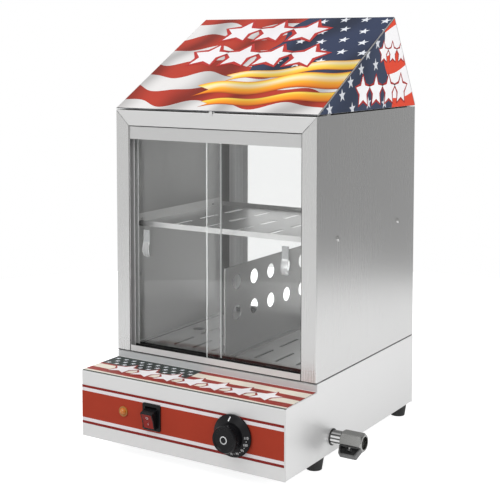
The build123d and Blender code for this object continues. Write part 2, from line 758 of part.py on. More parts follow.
def pull(stile, channel):
    """Clear finger pull bonded to a pane: a flat pad whose lower half bows outwards."""
    inward = -1 if stile > 0 else 1
    centre = stile + inward * pull_inset
    middle = pull_grip / 2
    high = pull_grip - pull_wall
    inside = ThreePointArc((0, pull_wall), (pull_reach - pull_wall, middle), (0, high))
    pad = Polyline((0, high), (0, pull_height), (pull_wall, pull_height), (pull_wall, pull_grip))
    outside = ThreePointArc((pull_wall, pull_grip), (pull_reach, middle), (pull_wall, 0))
    foot = Polyline((pull_wall, 0), (0, 0), (0, pull_wall))
    section = make_face(Curve() + [inside, pad, outside, foot])
    face = channel - glass / 2
    plane = Plane(origin=(centre, face, pull_base), x_dir=(0, -1, 0), z_dir=(-1, 0, 0))
    return extrude(plane * section, pull_width / 2, both=True)


# ---- Inside the cabinet --------------------------------------------------------------------------
def steam_tray():
    """Slotted floor of the cabinet on the tank's lip, with edges turned down and two lifting holes."""
    reach = tank_x + tray_overlap
    front = track_depth + clearance
    back = cabinet_depth - front
    section = folded([(back, lip_top), (back, tray_top), (front, tray_top), (front, lip_top)])
    tray = across(section, reach)
    for side in (-1, 1):
        ends = (side * reach, side * (reach - sheet))
        tray += block(min(ends), max(ends), front + bend + sheet, back - bend - sheet, lip_top, tray_top)
        centre = (side * tank_x / 2, mid_y)
        tray -= slots(tray_slot, tray_slot_width, 90, tray_pitch, tray_count, centre, tray_top)
        tray -= rod(side * (reach - tray_hole_inset), mid_y, lip_top, tray_hole, 2 * tray_rise, (0, 0, 1))
    return tray


def divider():
    """Pierced plate between the two sausage bays: foot folded out below, hems at the top and the front."""
    top_edge = tray_top + divider_height
    web = sheet / 2
    section = folded([(divider_foot, tray_top), (-web, tray_top), (-web, top_edge)][::-1])
    plate = lengthwise(section, divider_front, divider_back)
    plate += block(web, web + sheet, divider_front, divider_back, top_edge - divider_hem, top_edge)
    plate += block(web, web + sheet, divider_front, divider_front + divider_hem,
                   tray_top + 2 * sheet, top_edge)
    plate = fillet(plate.edges().filter_by(Axis.Y).group_by(Axis.Z)[-1], sheet / 2)
    for column in range(divider_columns):
        for row in divider_rows:
            y = divider_first_hole + column * divider_pitch
            plate -= rod(-sheet, y, tray_top + row, divider_hole, 3 * sheet, (1, 0, 0))
    return plate


def bun_shelf():
    """Slotted shelf turned up all round, its high sides screwed to the cabinet."""
    section = folded([(-inner, shelf_level + shelf_side), (-inner, shelf_level), (inner, shelf_level),
                      (inner, shelf_level + shelf_side)])
    shelf = lengthwise(section, shelf_front, shelf_back)
    reach = inner - sheet - bend
    shelf += block(-reach, reach, shelf_front, shelf_front + sheet, shelf_level, shelf_level + shelf_lip)
    shelf += block(-reach, reach, shelf_back - sheet, shelf_back, shelf_level, shelf_level + shelf_lip)
    centre = (0, (shelf_front + shelf_back) / 2)
    shelf -= slots(shelf_slot, shelf_slot_width, 90, shelf_pitch, shelf_count, centre, shelf_level)
    for y in shelf_screw_y:
        shelf -= rod(-half, y, shelf_level + shelf_screw_rise, screw_hole, cabinet_width, (1, 0, 0))
    return shelf


def shelf_screws():
    """Domed screws through the cabinet's sides into the shelf."""
    screws = []
    for side in (-1, 1):
        for y in shelf_screw_y:
            z = shelf_level + shelf_screw_rise
            head = rod(side * half, y, z, screw_head, screw_head_height, (side, 0, 0))
            head = chamfer(head.faces().sort_by(Axis.X)[-1 if side > 0 else 0].edges(), screw_head_height / 2)
            screws.append(head + rod(side * half, y, z, screw_radius, 4 * sheet, (-side, 0, 0)))
    return Compound(screws)


# ---- Hood ----------------------------------------------------------------------------------------
def hood_outline(depth=0.0):
    """Gable of the hood in the Y-Z plane, its two slopes moved inwards by a depth."""
    ridge = Vector(ridge_setback, ridge_z)
    foot_y = (0, cabinet_depth)
    moved = []
    for y, turn in zip(foot_y, (1, -1)):
        way = (ridge - Vector(y, hood_base)).normalized()
        normal = Vector(way.Y, -way.X) * turn
        moved.append((Vector(y, hood_base) + normal * depth, way))
    (p, u), (q, v) = moved
    along = ((q.X - p.X) * v.Y - (q.Y - p.Y) * v.X) / (u.X * v.Y - u.Y * v.X)
    peak = p + u * along
    feet_inside = [a + w * ((hood_base - a.Y) / w.Y) for a, w in moved]
    return feet_inside[0], peak, feet_inside[1]


def slope_way(foot):
    """Direction from a foot of the gable up to its ridge."""
    return (Vector(ridge_setback, ridge_z) - foot).normalized()


def hood_front():
    """Front board, folded over the ridge, with a tab that stands on the cabinet."""
    start, ridge, back = hood_outline()
    lap = ridge - slope_way(back) * ridge_lip
    points = [(lap.X, lap.Y), (ridge.X, ridge.Y), (start.X, start.Y)]
    board = across(folded(points)) & block(-half, half, -1, cabinet_depth, hood_base, ridge_z + 1)
    under = hood_outline(sheet / 2)[0]
    rise = slope_way(start).Y / slope_way(start).X
    far = under.X + hood_tab
    tab = make_face(Polyline((under.X, top), (far, top), (far, hood_base + hood_tab * rise),
                             (under.X, hood_base), close=True))
    reach = hood_tongue / 2
    tongue = block(-reach, reach, -tongue_thickness, 0, top - tongue_reach, top)
    tongue += block(-reach, reach, -tongue_thickness, under.X, top, hood_base + tongue_thickness)
    return board + across(tab, hood_tab / 2) + tongue


def hood_back():
    """Back board under the ridge, with a flange along its foot."""
    back = hood_outline()[2]
    ridge = hood_outline()[1]
    lap = ridge - slope_way(back) * ridge_lip
    points = [(back.X - hood_flange, back.Y), (back.X, back.Y), (lap.X, lap.Y)]
    return across(folded(points))


def hood_side():
    """Right-hand gable inside the two boards, with a flange along its foot and two pads under it."""
    inside = hood_outline(sheet)
    gable = make_face(Polyline(*[(p.X, p.Y) for p in inside], close=True))
    section = folded([(half - hood_flange, hood_base), (half, hood_base), (half, ridge_z)])
    side = lengthwise(section, 0, cabinet_depth) & extrude(Plane.YZ * gable, half + 1)
    side -= block(0, half, cabinet_depth - hood_flange, cabinet_depth, hood_base, hood_base + sheet)
    for y in (hood_flange * 2, cabinet_depth - 2 * hood_flange):
        side += block(half - hood_flange, inner, y, y + hood_tab, top, hood_base)
    return side - hood_front() - hood_back()


def sign_front():
    """Printed film on the front board."""
    start, ridge, _ = hood_outline()
    way = slope_way(start)
    length = (ridge - start).length
    plane = Plane(origin=(0, start.X, start.Y), x_dir=(1, 0, 0), z_dir=(0, -way.Y, way.X))
    reach = half - sign_margin
    return extrude(plane * rect(-reach, reach, sign_margin, length - sign_margin), sticker)


def sign_side():
    """Printed film on the right-hand gable."""
    low, peak, far = hood_outline(sheet + sign_margin)
    base = hood_base + sign_margin
    start, _, back = hood_outline()
    front_way = slope_way(start)
    back_way = slope_way(back)
    left = low + front_way * ((base - low.Y) / front_way.Y)
    right = far + back_way * ((base - far.Y) / back_way.Y)
    outline = make_face(Polyline((left.X, left.Y), (peak.X, peak.Y), (right.X, right.Y), close=True))
    return Pos(half, 0, 0) * extrude(Plane.YZ * outline, sticker)


# ---- All the pieces, by name ---------------------------------------------------------------------
parts = {
    "base_side_right": base_side_right(),
    "base_side_left": other_side(base_side()),
    "base_front": base_front(),
    "base_back": base_back(),
    "base_floor": base_floor(),
    "feet": feet(),
    "foot_screws": foot_screws(),
    "control_decal": control_decal(),
    "deck_decal": deck_decal(),
    "pilot_lamp_body": pilot_lamp_body(),
    "pilot_lamp_lens": pilot_lamp_lens(),
    "switch_housing": switch_housing(),
    "switch_rocker": switch_rocker(),
    "switch_lens": switch_lens(),
    "thermostat_body": thermostat_body(),
    "thermostat_knob": thermostat_knob(),
    "capillary": capillary(),
    "terminal_block": terminal_block(),
    "cable_gland": cable_gland(),
    "water_tank": water_tank(),
    "heating_element": heating_element(),
    "heater_bushes": heater_bushes(),
    "drain_pipe": drain_pipe(),
    "drain_collar": drain_collar(),
    "valve_body": valve_body(),
    "valve_ball": valve_ball(),
    "valve_handle": valve_handle(),
    "valve_handle_screw": handle_screw_piece(),
    "cabinet_side_right": cabinet_side(),
    "cabinet_side_left": other_side(cabinet_side()),
    "cabinet_roof": cabinet_roof(),
    "sill_front": sill(),
    "sill_rear": rear_sill(),
    "head_front": head(),
    "head_rear": at_back(head()),
    "jamb_front_right": jamb(),
    "jamb_front_left": other_side(jamb()),
    "jamb_rear_right": at_back(jamb()),
    "jamb_rear_left": at_back(other_side(jamb())),
    "door_front_right": door(shut_edge - ajar, channel_outer),
    "door_front_left": door(-shut_edge, channel_inner),
    "door_rear_right": at_back(door(shut_edge, channel_outer)),
    "door_rear_left": at_back(door(-shut_edge, channel_inner)),
    "pull_front_right": pull(shut_edge - ajar, channel_outer),
    "pull_front_left": pull(-shut_edge, channel_inner),
    "pull_rear_right": at_back(pull(shut_edge, channel_outer)),
    "pull_rear_left": at_back(pull(-shut_edge, channel_inner)),
    "steam_tray": steam_tray(),
    "divider": divider(),
    "bun_shelf": bun_shelf(),
    "shelf_screws": shelf_screws(),
    "hood_front": hood_front(),
    "hood_back": hood_back(),
    "hood_side_right": hood_side(),
    "hood_side_left": other_side(hood_side()),
    "sign_front": sign_front(),
    "sign_right": sign_side(),
    "sign_left": other_side(sign_side()),
}

# The origin: on the counter under the feet, midway between the furthest points of the piece.
right_end = max(drain_end + valve_length, stem_x + handle_length / 2)
left_end = -half - screw_head_height
front_end = face_y - knob_gap - skirt_height - grip_height
back_end = cabinet_depth + gland_reach
origin = Pos(-(left_end + right_end) / 2, -(front_end + back_end) / 2, foot_height)

if __name__ == "__main__":
    for name, piece in parts.items():
        piece = origin * piece
        piece.label = name
        export_step(piece, f"parts/{name}.step")
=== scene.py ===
"""Looks of the hot dog steamer: finishes for its pieces, the prints on its hood, deck and
control face, the markings on its dial and switch, and the studio round it.

Lengths that come from the frame are in metres. Drawn sizes are in millimetres and pass
through MM once, where a drawing is laid on its face.
"""
import json
import math

import bmesh
import bpy
import numpy as np
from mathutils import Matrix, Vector


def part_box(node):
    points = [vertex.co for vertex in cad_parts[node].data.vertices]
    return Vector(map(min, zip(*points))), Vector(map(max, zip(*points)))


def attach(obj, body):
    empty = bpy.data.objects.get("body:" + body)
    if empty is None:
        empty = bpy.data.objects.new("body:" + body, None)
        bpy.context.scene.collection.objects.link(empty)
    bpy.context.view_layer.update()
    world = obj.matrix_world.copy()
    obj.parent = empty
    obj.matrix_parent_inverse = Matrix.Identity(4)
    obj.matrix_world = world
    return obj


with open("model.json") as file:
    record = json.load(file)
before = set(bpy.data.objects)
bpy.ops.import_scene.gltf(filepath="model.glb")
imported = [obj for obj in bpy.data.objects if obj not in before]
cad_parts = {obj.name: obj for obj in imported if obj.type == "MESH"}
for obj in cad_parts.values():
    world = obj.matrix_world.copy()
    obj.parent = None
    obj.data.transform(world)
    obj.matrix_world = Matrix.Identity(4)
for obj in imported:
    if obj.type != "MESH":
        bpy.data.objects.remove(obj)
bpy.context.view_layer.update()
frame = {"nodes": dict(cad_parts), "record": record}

# ---- Sizes, in millimetres ----
MM = 0.001
OUTER_SKIN = 0.8         # faces of the cabinet's sides that lie deeper than this look inwards
FOLD_LIGHT_STRIP = 3.2         # painted light: a bright strip on their inner walls, next to the folds in front and behind
STILE_FACE = 0.3         # depth within which a face belongs to the front of an upright
FRONT_STILE = 25.0       # width of the front uprights
STILE_SHADOW_LINE = 0.8         # painted shadow line along their inner edges
FOOT_SHADOW_LINE = 1.1          # painted shadow line at the foot of the cabinet's sides
FOOT_FADE = 35.0         # height over which the front uprights turn from satin to bright
GROOVE_START = 1.2       # depth behind the wall of a lower track at which its painted groove shade begins
SILL_SHADOW_LINE = 1.2          # painted shadow line at the foot of a lower track
DECK_SHADOW_LINE = 1.0          # painted shadow line along the deck's front edge
DECK_NOSE = 2.5          # depth of the edge that carries it
RISER_START = 0.6        # height over the deck at which the riser begins
CONTROL_LINE = 3.8       # dark red lines on the control film
CONTROL_WHITE = 4.9      # and its white bands
RING_RADIUS = 4.9        # ring on the knob
RING_WIDTH = 1.1
HANDLE_THICKNESS = 8.0   # of the wing handle
HANDLE_RIM = 0.6         # height of its rim over its hollows
SKIRT_RADIUS = 29.8
SKIRT_INNER = 19.5       # radius at which the skirt's bevel ends
SKIRT_EDGE = 3.4         # from the face to the skirt's front edge, the knob's gap included
SKIRT_TOP = 7.2          # from the face to that end
KNOB_GAP = 1.2           # between the face and the knob
NUMERAL = 5.0            # height of the dial's numerals
NUMERAL_RING = 24.4      # radius on which they and the dots stand
DOT_RADIUS = 0.6
ROCKER_CROWN = 12.3      # from the rocker's pins to the middle of its lens
BORDER_LINE = 1.4        # dark border left at the foot of the hood's print
LAYER = 0.05             # from one printed layer to the next
FILM = 0.0003            # metres, thickness of the hood's film

# ---- Angles, in degrees ----
VALVE_LEAN = 38.0        # by which the wing handle's broad faces look above the front
NUMERAL_START = 4.0      # of the first numeral, up from the dial's right
NUMERAL_STEP = 23.5      # from one numeral to the next, clockwise
ROCKER_TILT = 17.0       # of the rocker at rest
ROCKER_DISH = 4.0        # by which each half of its lens rises from the middle

# ---- Colours, as linear red, green and blue ----
STEEL = (0.74, 0.74, 0.735)
SIDE_STEEL = (0.635, 0.635, 0.63)
# grey of the inner faces of the cabinet's sides, darkened as painted shade inside the cabinet
INSIDE_STEEL_SHADED = (0.395, 0.395, 0.39)
SHELF_STEEL = (0.62, 0.62, 0.615)
HEAD_STEEL = (0.54, 0.54, 0.535)
DIVIDER_STEEL = (0.30, 0.30, 0.295)
PRINT_RED = (0.41, 0.036, 0.018)
PRINT_WHITE = (0.68, 0.665, 0.655)
PRINT_NAVY = (0.026, 0.038, 0.082)
BRIGHT_RED = (0.80, 0.075, 0.035)
BAND_RED = (0.375, 0.044, 0.022)
LINE_RED = (0.230, 0.022, 0.018)
BAND_WHITE = (0.78, 0.73, 0.74)
DECK_CREAM = (0.72, 0.66, 0.56)
DECK_RED = (0.290, 0.030, 0.020)
DECK_DARK = (0.021, 0.030, 0.027)
BLACK = (0.006, 0.006, 0.007)
MARKING = (0.75, 0.76, 0.76)
EDGE_BROWN = (0.36, 0.055, 0.012)
ORANGE = (0.80, 0.22, 0.012)
AMBER = (0.88, 0.42, 0.03)
YELLOW = (0.90, 0.66, 0.10)
CREAM = (0.86, 0.74, 0.46)
PRINT_GLOSS = 0.08       # specular level of printed film
BLACK_GLOSS = 0.18       # and of black plastic

# ---- How fine brushed grain runs along X, Y and Z ----
ALONG_X = (1.5, 800.0, 800.0)
ALONG_Y = (800.0, 1.5, 800.0)
ALONG_Z = (800.0, 800.0, 1.5)
EVEN = (160.0, 160.0, 160.0)


# ---- Node graphs ----
def add(tree, kind, settings=None, **inputs):
    """Adds a node. Each input is a plain value or another node's output; _ in its name is a space."""
    node = tree.nodes.new("ShaderNode" + kind)
    for key, value in (settings or {}).items():
        setattr(node, key, value)
    for key, value in inputs.items():
        put(tree, socket_of(node, key), value)
    return node


def socket_of(node, key):
    """The enabled input socket of that name, or of that number after an i."""
    if key[0] == "i" and key[1:].isdigit():
        return node.inputs[int(key[1:])]
    name = key.replace("_", " ")
    return next(s for s in node.inputs if s.name == name and s.enabled)


def put(tree, socket, value):
    """Links an output to a socket, or sets its plain value."""
    if isinstance(value, bpy.types.NodeSocket):
        tree.links.new(value, socket)
    elif isinstance(value, (tuple, list)) and len(value) == 3 and socket.type == "RGBA":
        socket.default_value = (*value, 1.0)
    else:
        socket.default_value = value


def feed(node, **inputs):
    """Puts values into a node's named inputs; _ in a name is a space."""
    for key, value in inputs.items():
        put(node.id_data, node.inputs[key.replace("_", " ")], value)


def math_node(tree, operation, *values, clamp=False):
    """Output of a Math node."""
    inputs = {f"i{i}": value for i, value in enumerate(values)}
    return add(tree, "Math", {"operation": operation, "use_clamp": clamp}, **inputs).outputs[0]


def below(tree, value, limit):
    """1 where a value lies below a limit, else 0."""
    return math_node(tree, "LESS_THAN", value, limit)


def above(tree, value, limit):
    """1 where a value lies above a limit, else 0."""
    return math_node(tree, "GREATER_THAN", value, limit)


def absolute(tree, value):
    """A value without its sign."""
    return math_node(tree, "ABSOLUTE", value)


def scaled(tree, value, factor, offset, clamp=False):
    """value * factor + offset."""
    return math_node(tree, "MULTIPLY_ADD", value, factor, offset, clamp=clamp)


def vector_node(tree, operation, first, second):
    """Output of a Vector Math node."""
    node = add(tree, "VectorMath", {"operation": operation}, i0=first, i1=second)
    return node.outputs["Value" if operation in ("DOT_PRODUCT", "DISTANCE") else "Vector"]


def axes(tree, vector):
    """A vector's X, Y and Z outputs."""
    return add(tree, "SeparateXYZ", Vector=vector).outputs


def coordinate(tree, name):
    """Output of the material's Texture Coordinate node."""
    return next(n for n in tree.nodes if n.type == "TEX_COORD").outputs[name]


def noise(tree, vector, scale, detail, rough=0.5, distortion=0.0):
    """Output of a Noise Texture node."""
    return add(tree, "TexNoise", Vector=vector, Scale=scale, Detail=detail, Roughness=rough,
               Distortion=distortion).outputs[0]


def smooth_step(tree, value, start, end, low=0.0, high=1.0):
    """Output of a Map Range node: low before start, high past end, and a soft rise between."""
    return add(tree, "MapRange", {"interpolation_type": "SMOOTHSTEP"}, Value=value,
               From_Min=start, From_Max=end, To_Min=low, To_Max=high).outputs[0]


def ramp(tree, factor, stops, constant=False):
    """Output of a Color Ramp with stops of (place, colour)."""
    node = add(tree, "ValToRGB", i0=factor)
    node.color_ramp.interpolation = "CONSTANT" if constant else "LINEAR"
    elements = node.color_ramp.elements
    for i, (place, colour) in enumerate(stops):
        element = elements[i] if i < len(elements) else elements.new(place)
        element.position = place
        element.color = (*colour, 1.0)
    return node.outputs[0]


def mix(tree, factor, first, second, blend="MIX"):
    """Output of a Mix node for colours."""
    node = tree.nodes.new("ShaderNodeMix")
    node.data_type = "RGBA"
    node.blend_type = blend
    for socket, value in zip((node.inputs[0], node.inputs[6], node.inputs[7]), (factor, first, second)):
        put(tree, socket, value)
    return node.outputs[2]


def shades(tree, factor, colour, share):
    """From a colour made darker by a share to the same colour made lighter by it."""
    return mix(tree, factor, tuple(c * (1 - share) for c in colour),
               tuple(min(1.0, c * (1 + share)) for c in colour))


def group_tree(name, inputs, outputs):
    """Empty shader node group with named sockets: (name, kind, default) for inputs and
    (name, kind) for outputs."""
    tree = bpy.data.node_groups.new(name, "ShaderNodeTree")
    for label, kind, default in inputs:
        socket = tree.interface.new_socket(label, in_out="INPUT", socket_type="NodeSocket" + kind)
        if default is not None:
            socket.default_value = default
    for label, kind in outputs:
        tree.interface.new_socket(label, in_out="OUTPUT", socket_type="NodeSocket" + kind)
    return tree, tree.nodes.new("NodeGroupInput").outputs, tree.nodes.new("NodeGroupOutput").inputs


def use_group(tree, group, **inputs):
    """Places a node group and returns its outputs."""
    node = tree.nodes.new("ShaderNodeGroup")
    node.node_tree = group
    feed(node, **inputs)
    return node.outputs


def brushed_group():
    """Sheet-metal grain: noise drawn out along one direction, with slow smudges over it."""
    tree, given, result = group_tree(
        "brushed_grain",
        [("Vector", "Vector", None), ("Stretch", "Vector", (1, 1, 1)), ("Rough", "Float", 0.3),
         ("Spread", "Float", 0.06)],
        [("Tone", "Float"), ("Roughness", "Float"), ("Height", "Float")])
    drawn = vector_node(tree, "MULTIPLY", given["Vector"], given["Stretch"])
    grain = noise(tree, drawn, 1.0, 3.0, 0.6)
    centred = math_node(tree, "SUBTRACT", grain, 0.5)
    slow = math_node(tree, "SUBTRACT", noise(tree, given["Vector"], 9.0, 2.0), 0.5)
    spread = math_node(tree, "MULTIPLY", math_node(tree, "ADD", centred, slow), given["Spread"])
    put(tree, result["Roughness"], math_node(tree, "ADD", given["Rough"], spread))
    put(tree, result["Tone"], scaled(tree, centred, 0.10, 0.5))
    put(tree, result["Height"], grain)
    return tree


def folds_group():
    """Light and shade of waving cloth, as a print shows it: slanted waves bent by noise, the dark
    side of each fold deeper than its light side."""
    tree, given, result = group_tree(
        "cloth_folds", [("Vector", "Vector", None), ("Depth", "Float", 0.25)], [("Shade", "Float")])
    turned = add(tree, "Mapping", Vector=given["Vector"], Rotation=(0.5, 0.0, 0.45)).outputs[0]
    wave = add(tree, "TexWave", {"wave_type": "BANDS", "bands_direction": "X", "wave_profile": "SIN"},
               Vector=turned, Scale=3.2, Distortion=4.5, Detail=1.0, Detail_Scale=2.0).outputs[1]
    dark = math_node(tree, "MULTIPLY", math_node(tree, "POWER", wave, 1.6), given["Depth"])
    put(tree, result["Shade"], math_node(tree, "SUBTRACT", 1.0, dark))
    return tree


BRUSHED = brushed_group()
FOLDS = folds_group()


# ---- Finishes ----
def material(name):
    """Empty material with its Principled shader and the object's own coordinates."""
    made = bpy.data.materials.new(name)
    made.use_nodes = True
    tree = made.node_tree
    tree.nodes.clear()
    shader = add(tree, "BsdfPrincipled")
    add(tree, "OutputMaterial", Surface=shader.outputs[0])
    return made, tree, shader, add(tree, "TexCoord").outputs["Object"]


def brushed(tree, place, stretch, rough, spread=0.05):
    """Outputs of the brushed grain: its tone, roughness and height."""
    return use_group(tree, BRUSHED, Vector=place, Stretch=stretch, Rough=rough, Spread=spread)


def bump(shader, height, strength, distance=0.0002):
    """Bump from a height into the shader's normal."""
    node = add(shader.id_data, "Bump", Strength=strength, Distance=distance, Height=height)
    feed(shader, Normal=node.outputs[0])


def steel(name, colour, stretch, rough, spread=0.06, depth=0.025, metallic=1.0):
    """Brushed sheet: stretch is how fine the grain runs along X, Y and Z."""
    made, tree, shader, place = material(name)
    grain = brushed(tree, place, stretch, rough, spread)
    feed(shader, Base_Color=shades(tree, grain["Tone"], colour, 0.10), Metallic=metallic,
         Roughness=grain["Roughness"])
    bump(shader, grain["Height"], depth)
    return made


def upright_steel():
    """Steel of the cabinet's sides, brushed upwards: bright outside, dull and darker on the faces that
    look into the cabinet, which lie inside the outer skin of the box that both sides fill; that darker
    grey is painted shade, with a strip of painted light next to the folds. Dark lines at the very foot,
    where it stands on the base, and along the inner edges of the front uprights are painted shadow."""
    made, tree, shader, place = material("stainless_upright")
    left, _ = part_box("cabinet_side_left")
    _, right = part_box("cabinet_side_right")
    middle, reach = (left + right) / 2, (right - left) / 2
    axis = axes(tree, vector_node(tree, "SUBTRACT", place, tuple(middle)))
    off_x = absolute(tree, axis["X"])
    off_y = absolute(tree, axis["Y"])
    inside = below(tree, off_x, reach.x - OUTER_SKIN * MM)
    behind = below(tree, off_y, reach.y - OUTER_SKIN * MM)
    inner = math_node(tree, "MULTIPLY", inside, behind)
    # painted shadow: a dark line at the very foot of the sides, where they meet the base
    foot = below(tree, axis["Z"], FOOT_SHADOW_LINE * MM - reach.z)
    front = below(tree, axis["Y"], STILE_FACE * MM - reach.y)
    # painted shadow: a dark line on the front of each front upright, along its inner edge
    edge = below(tree, off_x, (STILE_SHADOW_LINE - FRONT_STILE) * MM + reach.x)
    dark = math_node(tree, "MAXIMUM", foot, math_node(tree, "MULTIPLY", front, edge))
    fade = FOOT_FADE * MM
    low_down = scaled(tree, axis["Z"], -1 / fade, 1 - reach.z / fade, clamp=True)
    satin = math_node(tree, "MAXIMUM", inner, math_node(tree, "MULTIPLY", front, low_down))
    grain = brushed(tree, place, ALONG_Z, 0.27)
    worn = brushed(tree, place, EVEN, 0.48, 0.12)
    bright = shades(tree, grain["Tone"], SIDE_STEEL, 0.07)
    # painted shade: the faces inside the cabinet take a darker grey than the outside
    dull = shades(tree, worn["Tone"], INSIDE_STEEL_SHADED, 0.05)
    # painted light: a lighter strip on the inner walls next to the front and back folds
    fold_light = above(tree, off_y, reach.y - FOLD_LIGHT_STRIP * MM)
    face = mix(tree, inner, bright, mix(tree, fold_light, dull, (0.80, 0.80, 0.795)))
    feed(shader, Base_Color=mix(tree, dark, face, (0.05, 0.05, 0.05)),
         Roughness=mix(tree, inner, grain["Roughness"], worn["Roughness"]),
         Metallic=scaled(tree, satin, -0.5, 1.0))
    bump(shader, grain["Height"], 0.01)
    return made


def ribbed_track(name, light_gain):
    """Folded upright track: how far a face stands from the cabinet's side decides its tone, painted
    shade down in the grooves and a painted highlight on the tips of the ribs; the gain sets how brightly
    it is painted lit."""
    made, tree, shader, place = material(name)
    left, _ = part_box("cabinet_side_left")
    _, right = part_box("cabinet_side_right")
    low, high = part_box("jamb_front_left")
    middle = (left.x + right.x) / 2
    across = absolute(tree, math_node(tree, "SUBTRACT", axes(tree, place)["X"], middle))
    from_wall = math_node(tree, "SUBTRACT", across, middle - high.x)
    sunk = math_node(tree, "DIVIDE", from_wall, high.x - low.x, clamp=True)
    grain = brushed(tree, place, ALONG_Z, 0.30)
    # painted shade and light: tone by depth, darkest in the grooves and brightest on the rib tips
    shade_levels = [(0.0, 1.0), (0.07, 0.95), (0.14, 0.66), (0.80, 0.54), (0.92, 0.80), (1.0, 0.86)]
    tone = ramp(tree, sunk, [(at, (min(1, level * light_gain),) * 3) for at, level in shade_levels])
    uneven = mix(tree, grain["Tone"], (0.92, 0.92, 0.92), (1.0, 1.0, 1.0))
    feed(shader, Base_Color=mix(tree, 1.0, tone, uneven, "MULTIPLY"), Roughness=grain["Roughness"],
         Metallic=0.2)
    return made


def shaded_groove_track(name, node, front):
    """Lower track: satin steel on its outer wall, a painted shadow line at its very foot, and near-black
    painted shade in the grooves behind the wall."""
    made, tree, shader, place = material(name)
    low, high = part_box(node)
    axis = axes(tree, place)
    wall = low.y + GROOVE_START * MM if front else high.y - GROOVE_START * MM
    behind = math_node(tree, "GREATER_THAN" if front else "LESS_THAN", axis["Y"], wall)
    foot = below(tree, axis["Z"], low.z + SILL_SHADOW_LINE * MM)
    # painted shade in the grooves and a painted shadow line at the foot
    groove_shade = math_node(tree, "MAXIMUM", behind, foot)
    grain = brushed(tree, place, ALONG_X, 0.48)
    plain = mix(tree, grain["Tone"], (0.62, 0.62, 0.615), (0.74, 0.74, 0.735))
    feed(shader, Base_Color=mix(tree, groove_shade, plain, (0.018, 0.018, 0.018)),
         Roughness=grain["Roughness"], Metallic=0.55)
    return made


def front_steel():
    """Satin steel of the folded front: a painted shadow line along the deck's front edge, and a duller
    riser.
    """
    made, tree, shader, place = material("satin_steel")
    low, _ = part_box("base_front")
    deck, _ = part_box("deck_decal")
    axis = axes(tree, place)
    grain = brushed(tree, place, ALONG_X, 0.48)
    plain = mix(tree, grain["Tone"], (0.60, 0.60, 0.595), (0.76, 0.76, 0.755))
    riser = above(tree, axis["Z"], deck.z + RISER_START * MM)
    risen = mix(tree, riser, plain, (0.56, 0.57, 0.57))
    # painted shadow: a dark line along the top of the front face, at the deck's edge
    before = below(tree, axis["Y"], low.y + DECK_NOSE * MM)
    high_up = above(tree, axis["Z"], deck.z - DECK_SHADOW_LINE * MM)
    edge = math_node(tree, "MULTIPLY", before, high_up)
    feed(shader, Base_Color=mix(tree, edge, risen, (0.10, 0.115, 0.105)),
         Roughness=grain["Roughness"], Metallic=scaled(tree, riser, -0.4, 0.55))
    bump(shader, grain["Height"], 0.025)
    return made


def banded_tube():
    """Polished tube: painted reflections, bands of bright and dark along it set by how far round the
    tube a face looks.
    """
    made, tree, shader, place = material("polished_tube")
    share = scaled(tree, axes(tree, coordinate(tree, "Normal"))["Z"], 0.5, 0.5)
    # painted reflections of the studio, as bands round the tube
    reflection_bands = [(0.05, 0.10), (0.10, 1.0), (0.26, 1.0), (0.29, 0.10), (0.37, 0.10), (0.40, 1.0),
               (0.52, 1.0), (0.55, 0.08), (0.61, 0.08), (0.64, 1.0), (0.74, 0.9), (0.77, 0.12),
               (0.84, 0.12), (0.88, 0.9), (0.95, 0.25)]
    feed(shader, Base_Color=ramp(tree, share, [(at, (v, v, v)) for at, v in reflection_bands]), Metallic=0.9,
         Roughness=scaled(tree, noise(tree, place, 200.0, 2.0), 0.1, 0.15))
    return made


def dark_casting():
    """Plated wing handle: mid grey on its rim, hub and edges as a painted highlight, and nearly black
    down in its hollows, its dark colour deepened by painted shade; the hollows are the broad faces
    that lie deeper than the rim."""
    made, tree, shader, place = material("dark_casting")
    low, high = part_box("drain_pipe")
    lean = math.radians(VALVE_LEAN)
    across = (0.0, -math.sin(lean), math.cos(lean))
    facing = vector_node(tree, "DOT_PRODUCT", coordinate(tree, "Normal"), across)
    centred = vector_node(tree, "SUBTRACT", place, tuple((low + high) / 2))
    off = absolute(tree, vector_node(tree, "DOT_PRODUCT", centred, across))
    deep = below(tree, off, (HANDLE_THICKNESS / 2 - HANDLE_RIM) * MM)
    broad = above(tree, absolute(tree, facing), 0.7)
    hollow = math_node(tree, "MULTIPLY", deep, broad)
    skin = noise(tree, place, 350.0, 3.0)
    # painted highlight on the rim, hub and edges; painted shade down in the hollows
    rim = mix(tree, skin, (0.08, 0.08, 0.08), (0.26, 0.26, 0.26))
    floor = mix(tree, skin, (0.006, 0.006, 0.006), (0.05, 0.05, 0.05))
    feed(shader, Base_Color=mix(tree, hollow, rim, floor), Metallic=0.8,
         Roughness=scaled(tree, skin, 0.2, 0.22))
    bump(shader, skin, 0.2)
    return made


def moulded(name, colour, rough, grain=900.0, depth=0.04, coat=0.0, gloss=0.5):
    """Moulded plastic or rubber with a fine skin and slightly uneven gloss."""
    made, tree, shader, place = material(name)
    slow = noise(tree, place, 60.0, 2.0)
    feed(shader, Base_Color=shades(tree, slow, colour, 0.12), Coat_Weight=coat,
         Roughness=scaled(tree, slow, 0.12, rough - 0.06), Specular_IOR_Level=gloss)
    bump(shader, noise(tree, place, grain, 2.0, 0.55), depth, 0.0001)
    return made, shader


